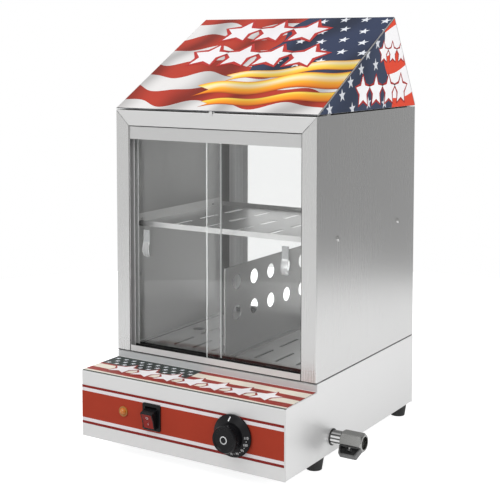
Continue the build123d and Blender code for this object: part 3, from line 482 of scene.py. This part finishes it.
def dial_black():
    """Glossy black of the heat knob, with a pale ring round the middle of its grip."""
    made, shader = moulded("dial_black", BLACK, 0.20, 1400.0, 0.04, 0.0, BLACK_GLOSS)
    tree = made.node_tree
    low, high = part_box("thermostat_knob")
    middle = ((low.x + high.x) / 2, low.y, (low.z + high.z) / 2)
    away = vector_node(tree, "DISTANCE", coordinate(tree, "Object"), middle)
    off = absolute(tree, math_node(tree, "SUBTRACT", away, RING_RADIUS * MM))
    ring = below(tree, off, RING_WIDTH / 2 * MM)
    plain = shader.inputs["Base Color"].links[0].from_socket
    feed(shader, Base_Color=mix(tree, ring, plain, MARKING))
    return made


def printed(name, colour, depth):
    """Printed film: flat ink with a dull gloss, shaded as waving cloth to a depth."""
    made, tree, shader, place = material(name)
    shade = use_group(tree, FOLDS, Vector=place, Depth=depth)[0]
    film = noise(tree, place, 45.0, 2.0)
    feed(shader, Base_Color=mix(tree, 1.0, colour, shade, "MULTIPLY"),
         Roughness=scaled(tree, film, 0.12, 0.30), Specular_IOR_Level=PRINT_GLOSS)
    return made


def streamer_ink(name, bands):
    """Golden streamer: bands of colour across its width, lighter and darker along it as it waves, read
    from its own map."""
    made, tree, shader, _ = material(name)
    where = axes(tree, add(tree, "UVMap", {"uv_map": "streamer"}).outputs[0])
    swing = math_node(tree, "SINE", scaled(tree, where["X"], 4 * math.pi, 0.6))
    shade = scaled(tree, swing, 0.16, 0.84)
    feed(shader, Base_Color=mix(tree, 1.0, ramp(tree, where["Y"], bands), shade, "MULTIPLY"),
         Roughness=scaled(tree, swing, 0.05, 0.36), Specular_IOR_Level=PRINT_GLOSS)
    return made


def lamps_pass(made, tree, shader):
    """Lets lamp light through a clear material, so that what lies behind it is lit."""
    shadow = add(tree, "LightPath").outputs["Is Shadow Ray"]
    clear = add(tree, "BsdfTransparent").outputs[0]
    join = add(tree, "MixShader", i0=shadow, i1=shader.outputs[0], i2=clear).outputs[0]
    feed(next(n for n in tree.nodes if n.type == "OUTPUT_MATERIAL"), Surface=join)
    return made


def door_glass():
    """Clear float glass with a few dry wiping marks and ground edges: an edge is any face that
    doesn't look to the front or the back. The edges glow faintly, a painted highlight."""
    made, tree, shader, place = material("door_glass")
    marks = noise(tree, place, 14.0, 4.0, 0.6, 1.5)
    facing = absolute(tree, axes(tree, coordinate(tree, "Normal"))["Y"])
    edge = below(tree, facing, 0.9)
    wiped = ramp(tree, marks, [(0.45, (0.0, 0.0, 0.0)), (0.8, (0.02, 0.02, 0.02))])
    # painted highlight: a faint glow on the ground edges
    feed(shader, Roughness=mix(tree, edge, wiped, (0.5, 0.5, 0.5)),
         Base_Color=mix(tree, edge, (0.965, 0.97, 0.968), (0.93, 0.95, 0.94)),
         Emission_Color=mix(tree, edge, (0.0, 0.0, 0.0), (0.20, 0.21, 0.205)),
         Emission_Strength=1.0, Transmission_Weight=1.0, IOR=1.46)
    return lamps_pass(made, tree, shader)


def clear_plastic():
    """Slightly milky clear plastic of the finger pulls."""
    made, tree, shader, place = material("clear_plastic")
    skin = noise(tree, place, 300.0, 2.0)
    feed(shader, Base_Color=(0.84, 0.85, 0.85), Transmission_Weight=0.82, IOR=1.47,
         Roughness=scaled(tree, skin, 0.1, 0.08))
    bump(shader, skin, 0.05)
    return lamps_pass(made, tree, shader)


def tinted_plastic(name, colour, share, coat, gloss):
    """Coloured plastic that lets part of the light through: lamp lens and lit rocker."""
    made, shader = moulded(name, colour, 0.22, 500.0, 0.02, coat, gloss)
    feed(shader, Transmission_Weight=share, Subsurface_Weight=0.15, Subsurface_Scale=0.002)
    return made


def heat_tinted():
    """Heater tube darkened by use: brown and blue-grey patches along its length."""
    made, tree, shader, place = material("heater_alloy")
    patches = noise(tree, place, 35.0, 3.0, 0.6)
    colours = [(0.3, (0.10, 0.085, 0.075)), (0.5, (0.20, 0.18, 0.17)), (0.7, (0.13, 0.14, 0.17))]
    feed(shader, Base_Color=ramp(tree, patches, colours), Metallic=1.0,
         Roughness=scaled(tree, patches, 0.3, 0.3))
    bump(shader, patches, 0.1)
    return made


def control_bands():
    """Film on the control face: red between white bands and dark red lines, by height alone."""
    made, tree, shader, place = material("control_print")
    low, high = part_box("control_decal")
    line, white = CONTROL_LINE * MM, CONTROL_WHITE * MM
    height = high.z - low.z
    level = math_node(tree, "SUBTRACT", axes(tree, place)["Z"], low.z)
    share = math_node(tree, "DIVIDE", level, height, clamp=True)
    stops = [(0.0, LINE_RED), (line, BAND_WHITE), (line + white, BAND_RED),
             (height - line - white, BAND_WHITE), (height - line, LINE_RED)]
    bands = ramp(tree, share, [(edge / height, colour) for edge, colour in stops], constant=True)
    uneven = noise(tree, place, 25.0, 3.0, 0.55)
    worn = math_node(tree, "MULTIPLY", uneven, 0.12)
    feed(shader, Base_Color=mix(tree, worn, bands, BLACK), Specular_IOR_Level=PRINT_GLOSS,
         Roughness=scaled(tree, uneven, 0.14, 0.27))
    return made


finishes = {name: steel(name, *look) for name, look in {
    "stainless": (STEEL, ALONG_X, 0.34),
    "galvanised": ((0.52, 0.53, 0.54), EVEN, 0.42, 0.2, 0.1),
    "inner_steel": (SHELF_STEEL, ALONG_Y, 0.38, 0.12),
    "brass": ((0.62, 0.44, 0.16), EVEN, 0.3),
    "screws": ((0.62, 0.62, 0.61), EVEN, 0.25),
    "thermostat_case": ((0.5, 0.5, 0.5), EVEN, 0.35),
}.items()}
finishes |= {name: moulded(name, *look)[0] for name, look in {
    "rubber": ((0.024, 0.024, 0.024), 0.6, 500.0, 0.25),
    "black_plastic": (BLACK, 0.24, 1400.0, 0.05, 0.0, BLACK_GLOSS),
    "lamp_ring": ((0.35, 0.14, 0.02), 0.3),
    "terminal_plastic": ((0.70, 0.68, 0.62), 0.4),
}.items()}
finishes |= {
    "red_plastic": tinted_plastic("red_plastic", (0.24, 0.014, 0.010), 0.0, 0.0, 0.15),
    "amber_lens": tinted_plastic("amber_lens", (0.62, 0.185, 0.012), 0.2, 0.3, 0.5),
    "deck_print": printed("deck_print", (0.030, 0.036, 0.034), 0.2),
    "sign_print": printed("sign_print", (0.014, 0.016, 0.026), 0.2),
    "control_print": control_bands(),
    "door_glass": door_glass(),
    "clear_plastic": clear_plastic(),
    "heater_alloy": heat_tinted(),
}
UPRIGHT_STEEL = upright_steel()
# painted light: the gains paint the front tracks darker and the rear tracks lighter
FRONT_TRACK = ribbed_track("track_front", 0.8)
REAR_TRACK = ribbed_track("track_rear", 1.6)
BASE_SIDE = steel("base_side_steel", (0.82, 0.82, 0.815), ALONG_Y, 0.42, metallic=0.7)
HEAD_TRACK = steel("head_track", HEAD_STEEL, ALONG_X, 0.42, metallic=0.6)
own_finish = {
    "cabinet_side_right": UPRIGHT_STEEL, "cabinet_side_left": UPRIGHT_STEEL,
    "jamb_front_right": FRONT_TRACK, "jamb_front_left": FRONT_TRACK,
    "jamb_rear_right": REAR_TRACK, "jamb_rear_left": REAR_TRACK,
    "base_side_right": BASE_SIDE, "base_side_left": BASE_SIDE,
    "head_front": HEAD_TRACK, "head_rear": HEAD_TRACK,
    "sill_front": shaded_groove_track("sill_track_front", "sill_front", True),
    "sill_rear": shaded_groove_track("sill_track_rear", "sill_rear", False),
    "base_front": front_steel(),
    "divider": steel("divider_steel", DIVIDER_STEEL, ALONG_Y, 0.45, 0.12, 0.02, metallic=0.8),
    "drain_pipe": banded_tube(),
    "valve_handle": dark_casting(),
    "valve_ball": steel("ball_chrome", (0.85, 0.85, 0.84), EVEN, 0.25, metallic=0.3),
    "valve_body": steel("cast_plated", (0.36, 0.36, 0.35), (40.0, 400.0, 400.0), 0.17, 0.12, 0.02),
    "thermostat_knob": dial_black(),
}
marking = moulded("marking_white", MARKING, 0.45, 600.0, 0.02)[0]
inks = {name: printed(name, *look) for name, look in {
    "flag_red": (PRINT_RED, 0.55),
    "flag_white": (PRINT_WHITE, 0.42),
    "flag_navy": (PRINT_NAVY, 0.5),
    "star_white": ((0.72, 0.74, 0.78), 0.1),
    "rim_red": ((0.42, 0.03, 0.025), 0.0),
    "heading_white": ((0.76, 0.735, 0.745), 0.05),
    "bright_red": (BRIGHT_RED, 0.08),
    "bright_white": ((0.99, 0.98, 0.985), 0.05),
    "side_navy": ((0.050, 0.066, 0.115), 0.30),
    "deck_red": (DECK_RED, 0.15),
    "deck_cream": (DECK_CREAM, 0.12),
    "deck_dark": (DECK_DARK, 0.3),
}.items()}
inks |= {name: streamer_ink(name, bands) for name, bands in {
    "gold_upper": [(0.0, EDGE_BROWN), (0.12, AMBER), (0.45, YELLOW), (0.75, CREAM), (1.0, AMBER)],
    "gold_middle": [(0.0, EDGE_BROWN), (0.14, ORANGE), (0.40, AMBER), (0.68, CREAM), (0.88, YELLOW),
                    (1.0, ORANGE)],
    "gold_lower": [(0.0, EDGE_BROWN), (0.20, ORANGE), (0.65, AMBER), (0.9, YELLOW), (1.0, EDGE_BROWN)],
}.items()}

slot_of = {entry["node"]: entry["material_slot"] for entry in frame["record"]["subparts"]}


def dress_nodes():
    """Gives every carried-over node its own finish, or that of its slot."""
    for node, obj in frame["nodes"].items():
        made = own_finish.get(node) or finishes[slot_of[node]]
        if not obj.material_slots:
            obj.data.materials.append(made)
        for place in obj.material_slots:
            place.material = made


# ---- Faces that carry drawings ----
class Face:
    """Flat face that a drawing lies on: a corner, the way across, the way up, and out of it. Its
    prints belong to the cabinet."""

    def __init__(self, corner, across, up, slot):
        self.corner = np.array(corner, float)
        self.across = np.array(across, float) / np.linalg.norm(across)
        self.up = np.array(up, float) / np.linalg.norm(up)
        self.out = np.cross(self.across, self.up)
        self.slot = slot

    def at(self, drawing, lift):
        """Places of drawn points (millimetres across and up), lifted off the face by millimetres."""
        flat = np.asarray(drawing, float) * MM
        return self.corner + flat[:, :1] * self.across + flat[:, 1:2] * self.up + lift * MM * self.out

    def sheet(self, name, drawing, faces, made, lift):
        """Flat sheet of drawn points and their faces."""
        return new_mesh(name, self.at(drawing, lift), faces, made, "cabinet")


def film_face(node):
    """Outer face of a film on the hood's front board, found from the film's box and its thickness,
    and the face's height."""
    low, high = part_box(node)
    rise, run = high.z - low.z, high.y - low.y
    turn = math.atan2(rise, run)
    for _ in range(3):
        turn = math.atan2(rise - FILM * math.cos(turn), run - FILM * math.sin(turn))
    tip, up = FILM * math.cos(turn), (0, math.cos(turn), math.sin(turn))
    face = Face((low.x, low.y, low.z + tip), (1, 0, 0), up, "sign_print")
    return face, (rise - tip) / math.sin(turn)


def new_mesh(name, points, faces, made, body):
    """Mesh object in the row's frame from arrays of points and faces, riding on a body."""
    mesh = bpy.data.meshes.new(name)
    mesh.from_pydata(np.asarray(points).tolist(), [], [tuple(map(int, face)) for face in faces])
    mesh.materials.append(made)
    obj = bpy.data.objects.new(name, mesh)
    bpy.context.scene.collection.objects.link(obj)
    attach(obj, body)
    return obj


def grid_faces(rows, columns):
    """Quads of a grid of rows by columns of points, stored row after row."""
    start = (np.arange(rows - 1)[:, None] * columns + np.arange(columns - 1)[None, :]).ravel()
    return np.stack([start, start + 1, start + 1 + columns, start + columns], axis=1)


def trimmed(obj, face, edges):
    """Cuts a printed sheet along straight edges of its face: each is a point and the way that stays
    on its left."""
    mesh = bmesh.new()
    mesh.from_mesh(obj.data)
    for (u, v), (du, dv) in edges:
        point = face.corner + u * MM * face.across + v * MM * face.up
        inward = -dv * face.across + du * face.up
        geometry = mesh.verts[:] + mesh.edges[:] + mesh.faces[:]
        bmesh.ops.bisect_plane(mesh, geom=geometry, plane_co=Vector(point), plane_no=Vector(-inward),
                               clear_outer=True)
    mesh.to_mesh(obj.data)
    mesh.free()
    return obj


def solid(obj):
    """Gives a printed sheet the thickness of its ink, down towards the film."""
    wall = obj.modifiers.new("ink", "SOLIDIFY")
    wall.thickness = LAYER * MM * 0.8
    wall.offset = -1.0


def stripes(name, face, width, edges, wave, pair, lift):
    """Waving stripes: between edge k and edge k + 1, v = edge + wave(u), ruled over columns of u.
    Even stripes take the first ink and odd ones the second."""
    u = np.linspace(-10.0, width + 10.0, 141)
    rows = np.asarray(edges, float)
    grid_u = np.broadcast_to(u, (len(rows), len(u)))
    grid_v = rows[:, None] + wave(u, rows)
    drawing = np.stack([grid_u.ravel(), grid_v.ravel()], axis=1)
    obj = face.sheet(name, drawing, grid_faces(len(rows), len(u)), inks[pair[0]], lift)
    obj.data.materials.append(inks[pair[1]])
    band = np.repeat(np.arange(len(rows) - 1), len(u) - 1) % 2
    obj.data.polygons.foreach_set("material_index", band.astype(np.int32))
    return obj


def between(name, face, left, right, v, ink, lift, columns=24):
    """Sheet between two curves: at height v it runs from u = left(v) to u = right(v)."""
    t = np.linspace(0.0, 1.0, columns)
    start, end = left(v)[:, None], right(v)[:, None]
    grid_u = start + (end - start) * t
    grid_v = np.broadcast_to(v[:, None], grid_u.shape)
    drawing = np.stack([grid_u.ravel(), grid_v.ravel()], axis=1)
    return face.sheet(name, drawing, grid_faces(len(v), columns), inks[ink], lift)


def star_outline(radius, slant=0.0, turn=0.0, grow=0.0, waist=0.40):
    """Five-pointed star: corners at alternate radii r and waist r, every 36 degrees, moved out along
    their own radius by an amount, then sheared by slant."""
    k = np.arange(10)
    angle = math.radians(90.0 + turn) + k * math.pi / 5
    reach = np.where(k % 2 == 0, radius, waist * radius) + grow
    u, v = reach * np.cos(angle), reach * np.sin(angle)
    return np.stack([u + slant * v, v], axis=1)


def star_group(name, face, centres, outline, ink, lift):
    """Flat stars of one outline round several centres, as one piece: each a fan about its own centre."""
    corners = len(outline)
    ring = np.arange(corners)
    fan = np.stack([np.zeros(corners, int), 1 + ring, 1 + (ring + 1) % corners], axis=1)
    star = np.vstack([[0.0, 0.0], outline])
    drawing = np.vstack([star + centre for centre in centres])
    faces = np.vstack([fan + i * (corners + 1) for i in range(len(centres))])
    return face.sheet(name, drawing, faces, inks[ink], lift)


def big_stars(name, face, centres, radius, slant, lift, rim, border=None, red="rim_red",
              white="heading_white"):
    """Broad white stars with a red rim, in two layers, set in a row."""
    layers = [(name + "_rims", rim, red, lift), (name, 0.0, white, lift + LAYER)]
    for piece_name, grow, ink, level in layers:
        outline = star_outline(radius, slant, grow=grow, waist=0.5)
        piece = star_group(piece_name, face, centres, outline, ink, level)
        if border:
            trimmed(piece, face, border)
        solid(piece)


def streamer(name, face, start, end, rise, width, notch, ink, lift, columns=96, rows=17):
    """Waving band: its middle runs from start to end and swings off that line by rise sin(4 pi t), its
    width grows along it, and a notch pulls the middle of its first end inwards, as a swallow tail."""
    t = np.linspace(0.0, 1.0, columns)
    s = np.linspace(-0.5, 0.5, rows)
    start, end = np.array(start, float), np.array(end, float)
    way = (end - start) / np.linalg.norm(end - start)
    normal = np.array([-way[1], way[0]])
    middle = start + t[:, None] * (end - start) + np.sin(4 * np.pi * t)[:, None] * rise * normal
    wide = width[0] + (width[1] - width[0]) * t
    cut = notch * (1 - 2 * np.abs(s))[:, None] * np.clip(1 - 5 * t, 0, 1)[None, :]
    grid = middle[None, :, :] + s[:, None, None] * wide[None, :, None] * normal + cut[..., None] * way
    obj = face.sheet(name, grid.reshape(-1, 2), grid_faces(rows, columns), inks[ink], lift)
    layer = obj.data.uv_layers.new(name="streamer")
    corner = np.empty(len(obj.data.loops), dtype=np.int32)
    obj.data.loops.foreach_get("vertex_index", corner)
    shape = (rows, columns)
    along, across = np.broadcast_to(t, shape).ravel(), np.broadcast_to((s + 0.5)[:, None], shape).ravel()
    layer.data.foreach_set("uv", np.stack([along, across], 1)[corner].ravel().astype(np.float32))
    return obj


# ---- Hood and deck prints ----
def frame_edges(width, height, foot=0.0):
    """Straight borders of a rectangular film, each with its inside on the left. A strip of the film
    stays bare at its foot."""
    return [((0, foot), (1, 0)), ((width, 0), (0, 1)), ((width, height), (-1, 0)),
            ((0, height), (0, -1))]


def front_sign():
    """Stars and stripes on the sloping front board, with two rows of large stars and three golden
    streamers."""
    face, height = film_face("sign_front")
    low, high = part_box("sign_front")
    width, height = (high.x - low.x) / MM, height / MM
    border = frame_edges(width, height, BORDER_LINE)

    def wave(u, rows):
        return (9.0 * np.sin(2 * np.pi * (u[None, :] + 30.0 + 0.45 * rows[:, None]) / 150.0)
                + 4.0 * np.sin(2 * np.pi * (u[None, :] - 0.8 * rows[:, None]) / 80.0))

    def left(v):
        return 168.0 + 0.16 * (v - 108.0) + 7.0 * np.sin(2 * np.pi * v / 90.0)

    def right(v):
        return np.full_like(v, width)

    edges = np.arange(-60.0, height + 80.0, 40.0)
    flag = stripes("flag_stripes", face, width, edges, wave, ("flag_red", "flag_white"), LAYER)
    solid(trimmed(flag, face, border))
    v = np.linspace(108.0, height, 60)
    solid(between("flag_canton", face, left, right, v, "flag_navy", 2 * LAYER))

    centres = []
    for row in range(5):
        for column in range(6):
            u = 196.0 + 36.0 * column + (row % 2) * 18.0 - 5.0 * row
            v = 272.0 - 33.0 * row + 5.0 * math.sin(u / 14.0)
            if u > left(v) + 12.0:
                centres.append((u, v))
    outline = star_outline(9.0, 0.10, 8.0)
    small = star_group("canton_stars", face, centres, outline, "star_white", 3 * LAYER)
    solid(trimmed(small, face, border))

    bands = [("upper", (146.0, 92.0), (372.0, 148.0), 5.0, (18.0, 30.0), 14.0),
             ("middle", (112.0, 54.0), (372.0, 103.0), 6.5, (32.0, 48.0), 24.0),
             ("lower", (142.0, 18.0), (372.0, 56.0), 5.0, (16.0, 28.0), 13.0)]
    for i, (name, *shape) in enumerate(bands):
        band = streamer(f"streamer_{name}", face, *shape, f"gold_{name}", (4 + i) * LAYER)
        solid(trimmed(band, face, border))

    rows = [[(97.0 + 61.0 * i, 236.0) for i in range(3)], [(78.0 + 58.0 * i, 159.0) for i in range(4)]]
    for i, centres in enumerate(rows):
        big_stars(f"front_heading_{i}", face, centres, 33.0, 0.12, 7 * LAYER, 7.5)


def side_sign(side):
    """The same print on a gable, the right one for 1 and the left for -1: navy with stars in front,
    bright stripes behind."""
    name = "right" if side > 0 else "left"
    low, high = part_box(f"sign_{name}")
    width, height = (high.y - low.y) / MM, (high.z - low.z) / MM
    corner = (high.x, low.y, low.z) if side > 0 else (low.x, high.y, low.z)
    face = Face(corner, (0, side, 0), (0, 0, 1), "sign_print")

    def across(u):
        return u if side > 0 else width - u

    def wave(u, rows):
        go = across(u)[None, :]
        return 0.16 * (go - 240.0) + 5.0 * np.sin(2 * np.pi * (go + rows[:, None]) / 170.0)

    def front(v):
        return np.full_like(v, across(0.0))

    def inner(v):
        return across(232.0 - 0.30 * v + 8.0 * np.sin(2 * np.pi * v / 95.0))

    # the gable's slopes, from the foot in front to the ridge and from the ridge to the foot behind
    lean = across(ridge_share() * width)
    border = [((0, 0), (1, 0)), ((width, 0), (lean - width, height)), ((lean, height), (-lean, -height))]
    edges = np.array([-42.0, -18.0, 14.0, 58.0, 88.0, 122.0, 152.0])
    pair = ("bright_white", "bright_red")
    flag = stripes(f"gable_stripes_{name}", face, width, edges, wave, pair, LAYER)
    solid(trimmed(flag, face, border))
    ends = (front, inner) if side > 0 else (inner, front)
    v = np.linspace(0.0, 125.0, 50)
    navy = between(f"gable_canton_{name}", face, *ends, v, "side_navy", 2 * LAYER)
    solid(trimmed(navy, face, border))

    places = [(28.0, 6.0), (66.0, 24.0), (98.0, 4.0), (92.0, 42.0), (126.0, 60.0), (174.0, 66.0),
              (147.0, 82.0), (180.0, 98.0), (150.0, 10.0), (205.0, 8.0)]
    centres = [(across(u), v) for u, v in places]
    outline = star_outline(10.0, 0.0, 6.0)
    small = star_group(f"gable_stars_{name}", face, centres, outline, "star_white", 3 * LAYER)
    solid(trimmed(small, face, border))
    rows = [([(across(202.0 + 31.0 * i), 84.0) for i in range(3)], 16.0, 3.2),
            ([(across(132.0 + 44.0 * i), 27.0) for i in range(4)], 23.0, 4.2)]
    for i, (centres, radius, rim) in enumerate(rows):
        big_stars(f"gable_heading_{name}_{i}", face, centres, radius, 0.0, 4 * LAYER, rim, border,
                  white="bright_white")


def ridge_share():
    """Where the ridge stands over a gable's film, as a share of the film's length from the front."""
    low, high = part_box("sign_right")
    mesh = frame["nodes"]["sign_right"].data
    points = np.empty(len(mesh.vertices) * 3)
    mesh.vertices.foreach_get("co", points)
    points = points.reshape(-1, 3)
    peak = points[points[:, 2].argmax()]
    return float((peak[1] - low.y) / (high.y - low.y))


def deck_print():
    """Stripes along the deck, a dark starred field behind on the left, and one row of large stars."""
    low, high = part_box("deck_decal")
    face = Face((low.x, low.y, high.z), (1, 0, 0), (0, 1, 0), "deck_print")
    width, depth = (high.x - low.x) / MM, (high.y - low.y) / MM
    border = frame_edges(width, depth)

    def wave(u, rows):
        return 0.6 * np.sin(2 * np.pi * (u[None, :] + 2.0 * rows[:, None]) / 120.0)

    def left(v):
        return np.zeros_like(v)

    def right(v):
        return np.full_like(v, 157.0)

    edges = np.array([-10.0, 5.0, 20.0, 38.0, 54.0, 73.0, 90.0])
    flag = stripes("deck_stripes", face, width, edges, wave, ("deck_cream", "deck_red"), LAYER)
    solid(trimmed(flag, face, border))
    v = np.linspace(43.0, depth, 12)
    solid(between("deck_canton", face, left, right, v, "deck_dark", 2 * LAYER))
    centres = [(9.0 + 15.0 * i + 7.5 * (j % 2), 49.0 + 12.0 * j) for i in range(10) for j in range(3)]
    small = star_group("deck_stars", face, centres, star_outline(4.4, 0.3), "star_white", 3 * LAYER)
    solid(trimmed(small, face, border))
    row = [(52.0 + 41.0 * i, 33.0) for i in range(7)]
    big_stars("deck_heading", face, row, 22.0, 0.25, 4 * LAYER, 3.6, border, "deck_red")


# ---- Dial and switch markings ----
def lettering(words, height):
    """Flat outline text as arrays of points and faces, in millimetres, centred on the origin."""
    curve = bpy.data.curves.new("marking", "FONT")
    curve.body = words
    curve.size = height
    curve.align_x = "CENTER"
    curve.align_y = "CENTER"
    curve.resolution_u = 4
    holder = bpy.data.objects.new("marking", curve)
    mesh = bpy.data.meshes.new_from_object(holder)
    points = np.array([v.co for v in mesh.vertices], float)[:, :2]
    faces = [tuple(p.vertices) for p in mesh.polygons]
    bpy.data.objects.remove(holder)
    bpy.data.curves.remove(curve)
    bpy.data.meshes.remove(mesh)
    return points - (points.min(0) + points.max(0)) / 2, faces


def joined(parts):
    """One list of points and one of faces from several pairs of them."""
    points, faces, count = [], [], 0
    for some, these in parts:
        points.append(some)
        faces += [tuple(i + count for i in face) for face in these]
        count += len(some)
    return np.vstack(points), faces


def disc(radius, count):
    """Flat disc as a fan: its rim is a circle of count corners."""
    angle = np.linspace(0, 2 * np.pi, count, endpoint=False)
    rim = radius * np.stack([np.cos(angle), np.sin(angle)], axis=1)
    return np.vstack([[0.0, 0.0], rim]), [(0, 1 + i, 1 + (i + 1) % count) for i in range(count)]


def around(radius, degrees):
    """Point at a radius and an angle from the dial's middle."""
    angle = math.radians(degrees)
    return radius * np.array([math.cos(angle), math.sin(angle)])


def dial_marks():
    """Numerals, dots and pointer on the skirt's bevel, which rises from its edge to the grip:
    height = edge + (radius - r) * slope."""
    low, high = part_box("thermostat_knob")
    centre = np.array([(low.x + high.x) / 2, 0.0, (low.z + high.z) / 2])
    face_y = high.y + KNOB_GAP * MM
    slope = (SKIRT_TOP - SKIRT_EDGE) / (SKIRT_RADIUS - SKIRT_INNER)
    parts = []
    for i in range(9):
        degrees = NUMERAL_START - NUMERAL_STEP * i
        text, faces = lettering(str(110 - 10 * i), NUMERAL)
        parts.append((text * (0.86, 1.0) + around(NUMERAL_RING, degrees), faces))
        if i < 8:
            dot, faces = disc(DOT_RADIUS, 10)
            parts.append((dot + around(NUMERAL_RING, degrees - NUMERAL_STEP / 2), faces))
    pointer = np.array([[-5.0, 21.0], [-3.2, 20.6], [-1.0, 26.6], [-2.6, 27.0]])
    parts.append((pointer, [(0, 1, 2, 3)]))
    flat, faces = joined(parts)
    height = SKIRT_EDGE + (SKIRT_RADIUS - np.linalg.norm(flat, axis=1)) * slope + LAYER
    points = centre + np.stack([flat[:, 0] * MM, face_y - height * MM, flat[:, 1] * MM], axis=1)
    solid(new_mesh("dial_marks", points, faces, marking, "heat_knob"))


def switch_marks():
    """O and I printed on the two halves of the red lens, whose face lies crown + |z| tan(dish) before
    the rocker's pins, all turned about the pins by the tilt: y' = y cos - z sin, z' = y sin + z cos."""
    joint = next(j for j in frame["record"]["behaviour"]["joints"] if j["child"] == "power_rocker")
    pivot = np.array(joint["pos_m"])
    tilt = math.radians(ROCKER_TILT)
    parts = []
    for text, level, tall in (("O", 5.2, 5.4), ("I", -4.8, 4.6)):
        flat, faces = lettering(text, tall)
        z = flat[:, 1] + level
        y = -(ROCKER_CROWN + math.tan(math.radians(ROCKER_DISH)) * np.abs(z) + LAYER)
        turned = np.stack([flat[:, 0], y * math.cos(tilt) - z * math.sin(tilt),
                           y * math.sin(tilt) + z * math.cos(tilt)], axis=1)
        parts.append((turned * MM + pivot, faces))
    points, faces = joined(parts)
    solid(new_mesh("switch_marks", points, faces, marking, "power_rocker"))


# ---- Studio ----
def add_camera():
    """Three-quarter view from the front right, a little above the hood's foot."""
    data = bpy.data.cameras.new("camera")
    camera = bpy.data.objects.new("camera", data)
    bpy.context.scene.collection.objects.link(camera)
    camera.location = (0.8895, -1.48085, 0.5989)
    camera.rotation_euler = (math.radians(90.0 - 4.333), 0.0, math.radians(32.433))
    data.sensor_width = 36.0
    data.lens = 81.9
    data.shift_x = 0.0228
    data.shift_y = -0.2336
    bpy.context.scene.camera = camera


def area_light(name, place, target, width, watts):
    """Square soft light aimed at a point, which metal doesn't mirror."""
    data = bpy.data.lights.new(name, "AREA")
    data.size = width
    data.energy = watts
    lamp = bpy.data.objects.new(name, data)
    bpy.context.scene.collection.objects.link(lamp)
    lamp.location = place
    lamp.rotation_euler = (Vector(target) - Vector(place)).to_track_quat("-Z", "Y").to_euler()
    lamp.visible_glossy = False


def add_lights():
    """Large soft light from above in front, and weaker ones from both sides."""
    area_light("key", (-0.6, -1.6, 2.0), (0.0, 0.0, 0.3), 1.6, 28.0)
    area_light("left_fill", (-1.8, -0.4, 1.1), (0.0, 0.0, 0.3), 1.2, 8.0)
    area_light("right_fill", (1.9, -0.5, 1.0), (0.0, 0.0, 0.35), 1.2, 14.0)


def seen_plainly(tree):
    """Outputs of a Light Path node, and whether a ray comes from the camera or through glass."""
    path = add(tree, "LightPath").outputs
    return path, math_node(tree, "MAXIMUM", path["Is Camera Ray"], path["Is Transmission Ray"])


def add_world():
    """White studio: plain for the camera and through glass, darker to the right for what metal mirrors,
    with one small bright box high in front."""
    world = bpy.data.worlds.new("studio")
    bpy.context.scene.world = world
    world.use_nodes = True
    tree = world.node_tree
    tree.nodes.clear()
    way = add(tree, "TexCoord").outputs["Generated"]
    right = smooth_step(tree, axes(tree, way)["X"], 0.15, 0.40)
    plain = mix(tree, right, (0.86, 0.86, 0.86), (0.36, 0.36, 0.36))
    toward = vector_node(tree, "DOT_PRODUCT", way, tuple(Vector((0.0, -0.84, 0.54)).normalized()))
    box = smooth_step(tree, toward, math.cos(math.radians(23)), math.cos(math.radians(16)))
    mirrored = mix(tree, box, plain, (3.5, 3.5, 3.5))
    path, clear = seen_plainly(tree)
    lit = mix(tree, path["Is Glossy Ray"], (0.66, 0.66, 0.67), mirrored)
    back = add(tree, "Background", Color=mix(tree, clear, lit, (1.0, 1.0, 1.0)), Strength=1.0)
    add(tree, "OutputWorld", Surface=back.outputs[0])


def add_floor():
    """Round white floor that keeps a soft shadow: a disc of rings and spokes. Metal mirrors it a little
    darker in front on the left and lighter on the right."""
    rings, spokes, radius = 8, 96, 1.34
    r = np.linspace(0.02, radius, rings)
    a = np.linspace(0, 2 * np.pi, spokes, endpoint=False)
    level = np.full((rings, spokes), -0.0005)
    points = np.stack([np.outer(r, np.cos(a)), np.outer(r, np.sin(a)), level], axis=-1)
    index = np.arange(rings * spokes).reshape(rings, spokes)
    inner, outer = index[:-1], index[1:]
    quads = np.stack([inner, outer, np.roll(outer, -1, 1), np.roll(inner, -1, 1)], axis=-1)
    faces = quads.reshape(-1, 4).tolist() + [index[0].tolist()]
    mesh = bpy.data.meshes.new("floor")
    mesh.from_pydata(points.reshape(-1, 3).tolist(), [], faces)
    made, tree, shader, place = material("floor")
    right = smooth_step(tree, axes(tree, place)["X"], 0.0, 0.5, 0.34, 0.66)
    path, seen = seen_plainly(tree)
    mirrored = math_node(tree, "MULTIPLY", path["Is Glossy Ray"], right)
    feed(shader, Base_Color=(0.55, 0.55, 0.55), Roughness=0.9, Specular_IOR_Level=0.0,
         Emission_Color=(1.0, 1.0, 1.0),
         Emission_Strength=scaled(tree, seen, 0.80, mirrored))
    mesh.materials.append(made)
    floor = bpy.data.objects.new("floor", mesh)
    bpy.context.scene.collection.objects.link(floor)


dress_nodes()
front_sign()
side_sign(1)
side_sign(-1)
deck_print()
dial_marks()
switch_marks()
add_camera()
add_lights()
add_world()
add_floor()
bpy.context.scene.view_settings.view_transform = "Standard"
